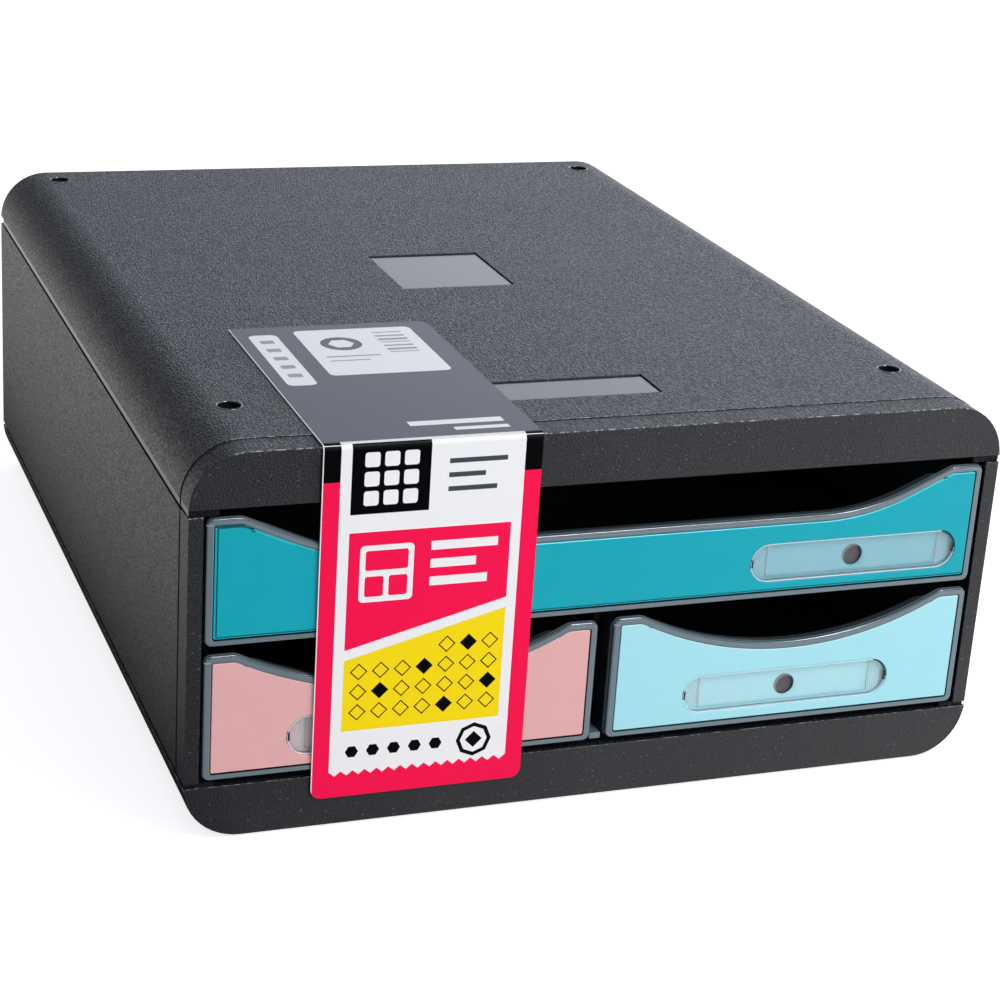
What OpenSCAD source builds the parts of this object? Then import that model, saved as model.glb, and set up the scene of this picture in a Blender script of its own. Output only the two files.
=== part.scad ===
// Desktop drawer cabinet: one wide drawer over two narrow ones.
// Origin: centre of the footprint at table level. +X right, +Y back, +Z up. Millimetres.

/* [Cabinet] */
// Overall width
cab_w = 278; // [240:1:330]
// Overall depth
cab_d = 347; // [300:1:380]
// Overall height, feet included
cab_h = 130; // [115:1:160]
// Radius of the four long edges
edge_r = 18.7; // [8:0.1:24]
// Wall of the top cover and of the base
shell_wall = 2.6; // [2:0.1:4]
// Height of the top cover, which is its fascia
cover_h = 18.1; // [17:0.1:21]
// Height of the base
base_h = 17.9; // [14:0.1:21]
// How far the feet lift the base
foot_proud = 0.8; // [0.4:0.1:2]

/* [Side panels] */
// Wall of a side panel
side_wall = 2.4; // [1.8:0.1:3]
// Width of the corner posts, seen from the front
post_w = 4.9; // [4:0.1:7]
// Depth of the corner posts
post_d = 8; // [5:0.5:14]
// Width of the top and bottom flanges, from the outer face
flange_w = 9.8; // [8:0.1:14]
// Thickness of the top flange, which shows under the cover
top_flange_t = 2.3; // [1.6:0.1:3]
// Thickness of the bottom flange, which shows over the base
low_flange_t = 1.6; // [1.2:0.1:1.7]
// How far the flanges stand back from the outer faces
reveal = 0.7; // [0.3:0.1:1.2]

/* [Bead round the front] */
// Distance from the front plane to the bead groove
band_d = 11.2; // [9:0.1:16]
// Width of the bead groove
groove_w = 0.6; // [0.4:0.1:1.2]
// Depth of the bead groove
groove_depth = 0.4; // [0.2:0.1:0.8]

/* [Stacking wells] */
// Radius of a well
well_r = 4.2; // [3:0.1:6]
// Depth of a well
well_depth = 12; // [6:0.5:14]
// Wall round and under a well
well_wall = 2.2; // [1.6:0.1:3]
// Well centre from the side
well_side = 22.4; // [20:0.1:40]
// Front well centres from the front
well_front = 41.4; // [20:0.1:60]
// Rear well centres from the back
well_rear = 13.4; // [12:0.1:40]

/* [Polished panels in the top] */
// Width of the square panel
square_w = 43.5; // [20:0.5:60]
// Length of the square panel
square_l = 44.6; // [20:0.1:60]
// Centre of the square panel from the front
square_front = 181; // [160:1:200]
// Width of the narrow panel
strip_w = 54; // [30:1:80]
// Length of the narrow panel
strip_l = 18.7; // [10:0.1:24]
// Centre of the narrow panel from the front
strip_front = 40.6; // [36:0.1:60]
// Depth of both panels
panel_depth = 0.5; // [0.3:0.1:1]

/* [Runners and stops] */
// Thickness of the rails that carry the wide drawer
rail_t = 1.6; // [1.2:0.1:1.9]
// Width of the rails that carry the wide drawer
rail_w = 7.1; // [6:0.1:10]
// Width of the bars that carry the narrow drawers
bar_w = 4; // [3:0.5:8]
// Running clearance under a drawer
run_gap = 0.3; // [0.2:0.05:0.5]
// Thickness of the centre divider
divider_t = 2.4; // [1.8:0.1:3]
// Setback of rails and divider from the front plane
rail_setback = 8.5; // [8:0.5:20]
// Drawer travel, from shut to the stops
travel = 250; // [150:1:260]
// Length of a stop lug and of a drawer's stop ear
stop_l = 5; // [3:0.5:8]
// Height of a stop lug and of a drawer's stop ear
stop_h = 6; // [4:0.5:10]
// Gap left between lug and ear at full travel
stop_gap = 0.3; // [0.2:0.05:0.5]
// Overlap of lug and ear, seen from the front
stop_bite = 1.4; // [0.8:0.1:1.8]

/* [Drawer fronts] */
// Gap between a front and the corner post
front_gap = 1.1; // [0.8:0.1:1.6]
// Gap between the two narrow fronts
mid_gap = 5.8; // [5.4:0.1:9]
// Gap under the lower row
sill_gap = 2.3; // [2.1:0.1:4]
// Gap between the rows
row_gap = 3.6; // [3:0.1:6]
// Gap between the wide front and the fascia
head_gap = 4.4; // [3:0.1:8]
// How much higher the narrow fronts are than the wide one
low_extra = 1.5; // [0:0.1:6]
// Thickness of a front
front_t = 3.3; // [2.8:0.1:4]
// Depth of the pocket for the coloured plate
pocket = 2.1; // [1.6:0.1:2.2]
// Border beside the coloured plate
border_side = 2.8; // [2:0.1:5]
// Border under the coloured plate
border_low = 2.2; // [1.6:0.1:5]
// Rim over the coloured plate
rim_h = 2; // [1.4:0.1:4]
// How far the rim rolls back from the front plane
rim_d = 5.5; // [4:0.1:8]
// Outer corner radius of a front
corner_r = 2.3; // [1:0.1:4]
// Clearance round the coloured plate
plate_gap = 0.15; // [0.05:0.05:0.3]

/* [Finger scoops] */
// Height of the wide front under its scoop
wide_web = 27; // [23:0.1:30]
// Height of a narrow front under its scoop
narrow_web = 28.5; // [23:0.1:31]
// Level stretch at each end of the wide front
wide_flat = 11.2; // [8:0.1:20]
// Slope at the ends of the wide scoop, in degrees
wide_slope = 24.5; // [20:0.5:35]
// Radius at the foot of that slope
wide_scoop_r = 75; // [20:1:90]
// Level stretch at each end of a narrow front
narrow_flat = 10; // [8:0.1:20]

/* [Label windows] */
// Width of a window
win_w = 76.3; // [50:0.1:90]
// Height of a window
win_h = 13.5; // [10:0.1:17]
// Wide front: window centre from the front's right edge
win_side = 45; // [42:0.1:120]
// Window centre above the lower edge of its front
win_rise = 12.4; // [11:0.1:15]
// Thickness of the clear face of a window
win_face = 1; // [0.8:0.1:1.4]
// Rim of a window
win_rim = 1.2; // [0.8:0.1:2]
// Radius of the hole in the window that a fingertip slides the label by
slide_r = 3.75; // [2:0.05:4.5]
// Setback of a window from the front plane
win_back = 0.1; // [0.05:0.05:0.4]

/* [Trays] */
// Walls of a tray
tray_wall = 1.8; // [1.2:0.1:2.4]
// Floor of a tray
tray_floor = 1.8; // [1.2:0.1:2.4]
// Setback of a tray's sides from the ends of its front
tray_inset = 2.4; // [2.2:0.1:3.4]
// Width of the runner flange along the foot of each side
runner_w = 2.2; // [1:0.1:2.3]
// Height of that flange
runner_h = 2; // [1.2:0.1:3]
// How far a tray's sides stay below the top of its front
tray_drop = 3.5; // [3:0.1:12]
// Gap between a shut tray and the back panel
back_gap = 0.4; // [0.3:0.1:1]

/* [Back panel] */
// Thickness of the back panel
back_t = 2.4; // [1.8:0.1:3]
// Gap between the back panel and the rear walls of cover and base
back_seat = 0.2; // [0.1:0.05:0.4]
// How far the back panel reaches up inside the cover
back_tuck = 4; // [2:0.5:8]

/* [Feet and underside] */
// Radius of a foot
foot_r = 7; // [5:0.5:9]
// Depth of the recess that a foot is bonded into
foot_recess = 1; // [0.5:0.1:2]
// Foot centres from the sides
foot_side = 31; // [30:0.5:60]
// Foot centres from front and back
foot_end = 43; // [20:0.5:80]
// Clearance round a foot in its recess
foot_gap = 0.2; // [0.1:0.05:0.4]
// Wall of the boss round a foot
foot_boss = 2; // [1.5:0.1:3]
// Height of the stiffening ribs under the deck
rib_h = 3; // [1:0.5:6]

/* [Folded tag] */
// Thickness of the tag's card
tag_t = 0.4; // [0.3:0.05:0.6]
// Width of the tag
tag_w = 71; // [40:1:90]
// Centre of the tag from the cabinet's left side
tag_side = 76.5; // [56:0.5:90]
// Length of the stretch that lies on the top
tag_lay = 118; // [60:1:150]
// Height of the hanging end above the table
tag_foot = 10.8; // [2:0.1:50]
// Radius of the fold
tag_fold_r = 0.5; // [0.4:0.05:0.8]
// Corner radius of the hanging end
tag_corner = 3.5; // [1:0.5:8]
// Gap between the fold and what it joins
tag_gap = 0.1; // [0.05:0.05:0.2]

/* [Hidden] */
$fn = 64;
eps = 0.01;      // overlap that joins solids, and overrun of cuts
cut = 5;         // overrun of cuts into open air
shell_color = "#2F3036";
frame_color = "#74848C";
teal = "#1FA9B6";
rose = "#E0B0B0";
sky = "#A8E6EF";
clear_color = [0.85, 0.95, 0.97, 0.5];
rubber = "#1C1C1E";
card = "#F2F2F4";

// Cabinet levels and planes
side_x = cab_w / 2;
front_y = -cab_d / 2;
rear_y = cab_d / 2;
base_z = foot_proud;
deck_z = base_z + base_h;
cover_z = cab_h - cover_h;
panel_z0 = deck_z + low_flange_t;
panel_z1 = cover_z - top_flange_t;
bay_x = side_x - side_wall;
back_y1 = rear_y - shell_wall - back_seat;
back_y0 = back_y1 - back_t;
rail_y0 = front_y + rail_setback;
rail_y1 = back_y0 - back_seat;
post_x = side_x - post_w;

// Drawer rows
wide_half = post_x - front_gap;
rows_h = cover_z - head_gap - row_gap - sill_gap - deck_z;
low_front_h = (rows_h + low_extra) / 2;
low_z0 = deck_z + sill_gap;
low_z1 = low_z0 + low_front_h;
up_z0 = low_z1 + row_gap;
up_z1 = cover_z - head_gap;
low_half = (wide_half - mid_gap / 2) / 2;
low_x = wide_half - low_half;
wide_depth = up_z1 - up_z0 - wide_web;
wide_end = min(wide_slope, acos(1 - wide_depth / wide_scoop_r));
narrow_depth = low_front_h - narrow_web;
narrow_chord = low_half - narrow_flat;
narrow_slope = 2 * atan(narrow_depth / narrow_chord);
narrow_scoop_r = narrow_chord / sin(narrow_slope);
tray_y1 = back_y0 - back_gap;
ear_y0 = tray_y1 - stop_l;
lug_y1 = ear_y0 - travel - stop_gap;
rail_z1 = up_z0 - run_gap;
bar_z1 = low_z0 - run_gap;
plate_corner_r = 0.8;                 // outer corner radius of a coloured plate
boss_setback = 0.2;                   // the foot bosses stop this far above the foot of the base
ear_w = tray_inset;
ear_drop = tray_drop + stop_h + 1;    // foot of ears and lugs under the top of a front

// One row per drawer: centre, half width, foot, head, level end, scoop, window centre.
// A scoop is its depth, the slope at its ends and the radius at the foot of that slope.
wide_scoop = [wide_depth, wide_end, wide_scoop_r];
narrow_scoop = [narrow_depth, narrow_slope, narrow_scoop_r];
UPPER = [0, wide_half, up_z0, up_z1, wide_flat, wide_scoop, wide_half - win_side];
LEFT = [-low_x, low_half, low_z0, low_z1, narrow_flat, narrow_scoop, -low_x];
RIGHT = [low_x, low_half, low_z0, low_z1, narrow_flat, narrow_scoop, low_x];

function arc(x, z, r, from, to, steps) =
    [for (i = [0:steps]) let (a = from + (to - from) * i / steps) [x + r * cos(a), z + r * sin(a)]];

function mirrored(points) = [for (i = [len(points) - 1:-1:0]) [-points[i][0], points[i][1]]];

// Right half of a front's upper edge, from its corner down into the scoop
function scoop_half(half, top, r, flat_len, scoop) =
    let (
        depth = scoop[0],
        slope = scoop[1],
        scoop_r = scoop[2],
        kink = half - flat_len,
        fall = scoop_r * (1 - cos(slope)),
        foot = kink - (depth - fall) / tan(slope) - scoop_r * sin(slope)
    )
    concat(
        arc(half - r, top - r, r, 0, 90, 4),
        [[kink, top]],
        arc(foot, top - depth + scoop_r, scoop_r, 270 + slope, 270, 6)
    );

// Closed outline of a front, centred on x = 0, with its foot at z0 and its head at z1
function front_outline(half, z0, z1, r, flat_len, scoop) =
    let (
        upper = scoop_half(half, z1, r, flat_len, scoop),
        lower = arc(half - r, z0 + r, r, -90, 0, 4),
        right = concat(lower, upper),
        meet = upper[len(upper) - 1][0] < eps ? [for (i = [0:len(right) - 2]) right[i]] : right
    )
    concat(meet, upper[len(upper) - 1][0] < eps ? [[0, z1 - scoop[0]]] : [], mirrored(meet));

// Stands a flat drawing up: its y becomes z, and it runs back from y0 for the given depth
module upright(y0, depth) {
    translate([0, y0 + depth, 0]) rotate([90, 0, 0]) linear_extrude(depth) children();
}

// Rounded outline of the cabinet, seen from the front, moved in by inset
module cabinet_outline(inset) {
    r = edge_r - inset;
    x = side_x - edge_r;
    z0 = base_z + edge_r;
    z1 = cab_h - edge_r;
    for (sx = [-1, 1], z = [z0, z1]) translate([sx * x, z]) circle(r, $fn = 96);
    translate([-side_x + inset, z0]) square([cab_w - 2 * inset, z1 - z0]);
    translate([-x, base_z + inset]) square([2 * x, cab_h - base_z - 2 * inset]);
}

// Block of the cabinet's outline between two levels
module cabinet_block(inset, y0, y1, z0, z1) {
    intersection() {
        upright(y0, y1 - y0) cabinet_outline(inset);
        translate([-cab_w, y0 - cut, z0]) cube([2 * cab_w, y1 - y0 + 2 * cut, z1 - z0]);
    }
}

// Ring that cuts the bead groove out of the outer faces
module bead_groove() {
    y0 = front_y + band_d - groove_w;
    difference() {
        upright(y0, groove_w) cabinet_outline(-cut);
        upright(y0 - cut, groove_w + 2 * cut) cabinet_outline(groove_depth);
    }
}

module at_wells() {
    for (sx = [-1, 1], y = [front_y + well_front, rear_y - well_rear])
        translate([sx * (side_x - well_side), y, 0]) children();
}

module top_cover() {
    boss_h = well_depth + well_wall;
    color(shell_color) difference() {
        union() {
            difference() {
                cabinet_block(0, front_y, rear_y, cover_z, cab_h);
                cabinet_block(shell_wall, front_y + shell_wall, rear_y - shell_wall, cover_z - cut, cab_h);
            }
            at_wells() translate([0, 0, cab_h - boss_h])
                cylinder(h = boss_h - shell_wall / 2, r = well_r + well_wall);
        }
        at_wells() translate([0, 0, cab_h - well_depth]) cylinder(h = well_depth + cut, r = well_r);
        translate([-square_w / 2, front_y + square_front - square_l / 2, cab_h - panel_depth])
            cube([square_w, square_l, cut]);
        translate([-strip_w / 2, front_y + strip_front - strip_l / 2, cab_h - panel_depth])
            cube([strip_w, strip_l, cut]);
        bead_groove();
    }
}

module at_foot(sx, sy) {
    translate([sx * (side_x - foot_side), sy * (cab_d / 2 - foot_end), 0]) children();
}

module base_shell() {
    hollow_x = side_x - edge_r - shell_wall;
    inner_y = front_y + shell_wall;
    inner_d = cab_d - 2 * shell_wall;
    under_z = deck_z - shell_wall;
    boss_z = base_z + boss_setback;
    outer_bar_x = min(low_x + low_half - tray_inset, side_x - flange_w - run_gap) - bar_w / 2;
    inner_bar_x = low_x - low_half + tray_inset + bar_w / 2;
    boss_r = foot_r + foot_gap + foot_boss;
    color(shell_color) difference() {
        union() {
            difference() {
                cabinet_block(0, front_y, rear_y, base_z, deck_z);
                cabinet_block(shell_wall, inner_y, rear_y - shell_wall, base_z - cut, under_z);
                translate([-hollow_x, inner_y, base_z - cut])
                    cube([2 * hollow_x, inner_d, under_z - base_z + cut]);
            }
            // bars that the narrow drawers slide on
            for (sx = [-1, 1], x = [inner_bar_x, outer_bar_x])
                translate([sx * x - bar_w / 2, rail_y0, deck_z - eps])
                    cube([bar_w, rail_y1 - rail_y0, bar_z1 - deck_z + eps]);
            // stiffening ribs under the deck
            for (i = [-2:2])
                translate([-hollow_x, i * inner_d / 6 - shell_wall / 2, under_z - rib_h])
                    cube([2 * hollow_x, shell_wall, rib_h + eps]);
            for (sx = [-1, 1], sy = [-1, 1]) at_foot(sx, sy)
                translate([0, 0, boss_z]) cylinder(h = under_z - boss_z + eps, r = boss_r);
        }
        for (sx = [-1, 1], sy = [-1, 1]) at_foot(sx, sy)
            translate([0, 0, boss_z - cut]) cylinder(h = foot_recess + cut, r = foot_r + foot_gap);
    }
}

module foot(sx, sy) {
    color(rubber) at_foot(sx, sy) cylinder(h = base_z + boss_setback + foot_recess, r = foot_r);
}

// Right-hand side panel; the left one is its mirror image
module side_panel() {
    panel_h = panel_z1 - panel_z0;
    flange_x0 = side_x - flange_w;
    flange_d = rail_y1 - front_y - reveal;
    color(shell_color) difference() {
        union() {
            translate([bay_x, front_y, panel_z0]) cube([side_wall, cab_d, panel_h]);
            for (y = [front_y, rear_y - post_d])
                translate([post_x, y, panel_z0]) cube([post_w, post_d, panel_h]);
            for (level = [[deck_z, low_flange_t], [panel_z1, top_flange_t]])
                translate([flange_x0, front_y + reveal, level[0]])
                    cube([flange_w - reveal, flange_d, level[1]]);
            // rail of the wide drawer
            translate([side_x - side_wall - rail_w, rail_y0, rail_z1 - rail_t])
                cube([rail_w + eps, rail_y1 - rail_y0, rail_t]);
            // stop lugs
            for (z = [low_z1, up_z1])
                translate([wide_half - stop_bite, lug_y1 - stop_l, z - ear_drop])
                    cube([bay_x - wide_half + stop_bite + eps, stop_l, stop_h]);
        }
        bead_groove();
    }
}

module left_side_panel() {
    mirror([1, 0, 0]) side_panel();
}

module right_side_panel() {
    side_panel();
}

module back_panel() {
    panel_w = 2 * (post_x - back_seat);
    panel_h = cover_z + back_tuck - deck_z;
    inset = 12;
    color(shell_color) difference() {
        translate([-panel_w / 2, back_y0, deck_z]) cube([panel_w, back_t, panel_h]);
        // shallow field inside the border
        translate([-panel_w / 2 + inset, back_y1 - back_t / 3, deck_z + inset])
            cube([panel_w - 2 * inset, back_t, panel_h - back_tuck - 2 * inset]);
    }
}

module center_divider() {
    cap_w = mid_gap + 1.2;
    lug_w = mid_gap + 2 * stop_bite;
    rail_d = rail_y1 - rail_y0;
    color(shell_color) {
        translate([-divider_t / 2, rail_y0, deck_z]) cube([divider_t, rail_d, rail_z1 - deck_z]);
        translate([-cap_w / 2, rail_y0, rail_z1 - rail_t]) cube([cap_w, rail_d, rail_t]);
        translate([-lug_w / 2, lug_y1 - stop_l, low_z1 - ear_drop]) cube([lug_w, stop_l, stop_h]);
    }
}

// Outline of a coloured plate, or of its pocket when grow is the clearance
module plate_outline(d, grow) {
    side = border_side - grow;
    polygon(front_outline(d[1] - side, d[2] + border_low - grow, d[3] - rim_h + grow,
                          plate_corner_r, d[4] - side, d[5]));
}

module window_outline(d, grow) {
    r = win_h / 2 + grow;
    span = win_w - win_h;
    translate([d[6], d[2] + win_rise]) {
        for (sx = [-1, 1]) translate([sx * span / 2, 0]) circle(r, $fn = 64);
        translate([-span / 2, -r]) square([span, 2 * r]);
    }
}

module tray(d) {
    outer = d[1] - tray_inset;
    inner = outer - tray_wall;
    wall_z1 = d[3] - tray_drop;
    y0 = front_y + front_t;
    box_d = tray_y1 - y0 + eps;
    flange_half = outer + runner_w;
    color(frame_color) translate([d[0], 0, 0]) difference() {
        union() {
            // front with its rim rolled back over the hand hold
            upright(front_y, front_t) polygon(front_outline(d[1], d[2], d[3], corner_r, d[4], d[5]));
            upright(front_y, rim_d) difference() {
                polygon(front_outline(d[1], d[2], d[3], corner_r, d[4], d[5]));
                translate([0, -rim_h])
                    polygon(front_outline(d[1] + eps, d[2] - 1, d[3], corner_r, d[4] + eps, d[5]));
            }
            // box
            difference() {
                translate([-outer, y0 - eps, d[2]]) cube([2 * outer, box_d, wall_z1 - d[2]]);
                translate([-inner, y0 - 2 * eps, d[2] + tray_floor])
                    cube([2 * inner, box_d - tray_wall + eps, wall_z1 - d[2]]);
            }
            // runner flanges and stop ears
            for (sx = [-1, 1]) translate([sx > 0 ? outer - eps : -flange_half, y0 - eps, d[2]])
                cube([runner_w + eps, box_d, runner_h]);
            for (sx = [-1, 1]) translate([sx > 0 ? outer - eps : -outer - ear_w, ear_y0, d[3] - ear_drop])
                cube([ear_w + eps, stop_l, stop_h]);
        }
        upright(front_y - cut, pocket + cut) plate_outline(d, plate_gap);
    }
}

module front_panel(d, tint) {
    color(tint) difference() {
        translate([d[0], 0, 0]) upright(front_y, pocket) plate_outline(d, 0);
        upright(front_y - cut, pocket + 2 * cut) window_outline(d, plate_gap);
    }
}

module label_window(d) {
    depth = pocket - win_back;
    color(clear_color) difference() {
        upright(front_y + win_back, depth) window_outline(d, 0);
        upright(front_y + win_back + win_face, depth) window_outline(d, -win_rim);
        translate([d[6], front_y - cut, d[2] + win_rise]) rotate([-90, 0, 0])
            cylinder(h = pocket + 2 * cut, r = slide_r);
    }
}

// Tag: its fold lies along the top front edge, and it hangs clear of the cabinet and bends
// between the two rows of drawers
fold_y = front_y - tag_fold_r - tag_gap;
fold_z = cab_h - tag_gap;
tag_x = -side_x + tag_side;
flap_y = fold_y - tag_fold_r;
flap_z1 = fold_z - tag_fold_r - tag_gap;
bend_r = tag_t / 2;
bend_z = low_z1 + row_gap / 2;

// Straight rod across the tag, where the card turns
module tag_rod(y, z, r) {
    color(card) translate([tag_x - tag_w / 2, y, z]) rotate([0, 90, 0]) cylinder(h = tag_w, r = r);
}

module tag_top() {
    color("#5B5E64") translate([tag_x - tag_w / 2, front_y, cab_h]) cube([tag_w, tag_lay, tag_t]);
}

module tag_crease() {
    tag_rod(fold_y, fold_z, tag_fold_r);
}

module tag_upper_flap() {
    z0 = bend_z + bend_r + tag_gap;
    color(card) translate([tag_x - tag_w / 2, flap_y, z0]) cube([tag_w, tag_t, flap_z1 - z0]);
}

module tag_bend() {
    tag_rod(flap_y + bend_r, bend_z, bend_r);
}

module tag_lower_flap() {
    z1 = bend_z - bend_r - tag_gap;
    half = tag_w / 2;
    outline = concat(
        arc(-half + tag_corner, tag_foot + tag_corner, tag_corner, 180, 270, 4),
        arc(half - tag_corner, tag_foot + tag_corner, tag_corner, 270, 360, 4),
        [[half, z1], [-half, z1]]
    );
    color(card) translate([tag_x, 0, 0]) upright(flap_y, tag_t) polygon(outline);
}

top_cover();
base_shell();
left_side_panel();
right_side_panel();
back_panel();
center_divider();
foot(-1, -1);  // front_left_foot
foot(1, -1);  // front_right_foot
foot(-1, 1);  // rear_left_foot
foot(1, 1);  // rear_right_foot
tray(UPPER);  // upper_tray
front_panel(UPPER, teal);  // upper_front_panel
label_window(UPPER);  // upper_label_window
tray(LEFT);  // left_tray
front_panel(LEFT, rose);  // left_front_panel
label_window(LEFT);  // left_label_window
tray(RIGHT);  // right_tray
front_panel(RIGHT, sky);  // right_front_panel
label_window(RIGHT);  // right_label_window
tag_top();
tag_crease();
tag_upper_flap();
tag_bend();
tag_lower_flap();
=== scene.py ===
"""Desktop drawer cabinet: a wide drawer over two narrow ones, with a folded card tag.

Sizes are in millimetres and become metres where a mesh is made. +X is right, +Y back, +Z up.
"""

import logging
import math
from dataclasses import dataclass
from enum import Enum
from typing import Callable, Iterable, Sequence

import bmesh
import bpy
from mathutils import Matrix, Vector, geometry


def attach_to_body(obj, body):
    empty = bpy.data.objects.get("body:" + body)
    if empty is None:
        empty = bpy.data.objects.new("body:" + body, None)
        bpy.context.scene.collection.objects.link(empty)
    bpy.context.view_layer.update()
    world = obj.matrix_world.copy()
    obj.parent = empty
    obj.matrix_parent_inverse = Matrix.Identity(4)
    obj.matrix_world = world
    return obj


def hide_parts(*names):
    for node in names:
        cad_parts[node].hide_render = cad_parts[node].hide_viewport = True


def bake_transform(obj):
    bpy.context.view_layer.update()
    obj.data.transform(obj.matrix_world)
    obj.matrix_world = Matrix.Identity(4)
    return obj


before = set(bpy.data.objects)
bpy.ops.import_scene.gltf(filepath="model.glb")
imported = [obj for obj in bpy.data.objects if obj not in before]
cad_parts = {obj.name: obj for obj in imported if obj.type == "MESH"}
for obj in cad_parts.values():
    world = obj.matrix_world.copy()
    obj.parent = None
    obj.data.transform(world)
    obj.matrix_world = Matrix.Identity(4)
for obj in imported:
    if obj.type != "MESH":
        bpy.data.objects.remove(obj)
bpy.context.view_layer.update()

LOG = logging.getLogger("drawer_cabinet")
MM = 0.001
Flat = tuple[float, float]

# Sockets of a Mix node by number, because its number and colour sockets share their names
LEVEL_1, LEVEL_2 = 2, 3
COLOUR_1, COLOUR_2, COLOUR_OUT = 6, 7, 2
# Distances in millimetres at which a point still counts as on, or as next to, a plane or an outline
ON, NEAR = 0.02, 0.05
# CAD meshes: points closer than this (m) are one, faces within this angle (degrees) are one flat face, and an
# edge sharper than this (degrees) can be rounded
WELD, FLAT_ANGLE, SHARP_ANGLE = 2e-6, 0.4, 38


# ---------------------------------------------------------------- nodes and materials


def linear(code: str) -> tuple[float, float, float, float]:
    """Turns an sRGB hex colour into linear RGBA.

    Args:
        code: colour such as "#2B2C32".

    Returns:
        Linear red, green, blue and an alpha of 1.
    """
    parts = [int(code[i : i + 2], 16) / 255 for i in (1, 3, 5)]
    red, green, blue = (c / 12.92 if c <= 0.04045 else ((c + 0.055) / 1.055) ** 2.4 for c in parts)
    return red, green, blue, 1.0


def shaded(code: str, share: float) -> tuple[float, ...]:
    """Linear RGBA of an sRGB hex colour times a share, kept within 1."""
    return tuple(min(1.0, c * share) for c in linear(code)[:3]) + (1.0,)


def add(tree: bpy.types.NodeTree, kind: str, inputs: dict | None = None, **settings: object) -> bpy.types.Node:
    """Adds one node with its settings, values and links.

    Args:
        tree: node tree that takes the node.
        kind: node type name.
        inputs: socket name or number to a value, or to the output socket that feeds it.
        settings: properties of the node itself.

    Returns:
        The new node.
    """
    node = tree.nodes.new(kind)
    for key, value in settings.items():
        setattr(node, key, value)
    for key, value in (inputs or {}).items():
        if isinstance(value, bpy.types.NodeSocket):
            tree.links.new(value, node.inputs[key])
        else:
            node.inputs[key].default_value = value
    return node


@dataclass(frozen=True)
class Finish:
    """A named surface finish; each kind fills in its own nodes."""

    name: str

    def dress(self, tree: bpy.types.NodeTree, spot: bpy.types.NodeSocket) -> bpy.types.NodeSocket:
        """Builds the shader from object coordinates and returns its output socket."""
        raise NotImplementedError

    def material(self) -> bpy.types.Material:
        """Makes the material, or returns the one made before.

        Returns:
            The material.
        """
        made = bpy.data.materials.get(self.name)
        if made:
            return made
        made = bpy.data.materials.new(self.name)
        made.use_nodes = True
        tree = made.node_tree
        tree.nodes.clear()
        spot = add(tree, "ShaderNodeTexCoord").outputs["Object"]
        add(tree, "ShaderNodeOutputMaterial", {"Surface": self.dress(tree, spot)})
        return made


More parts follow.
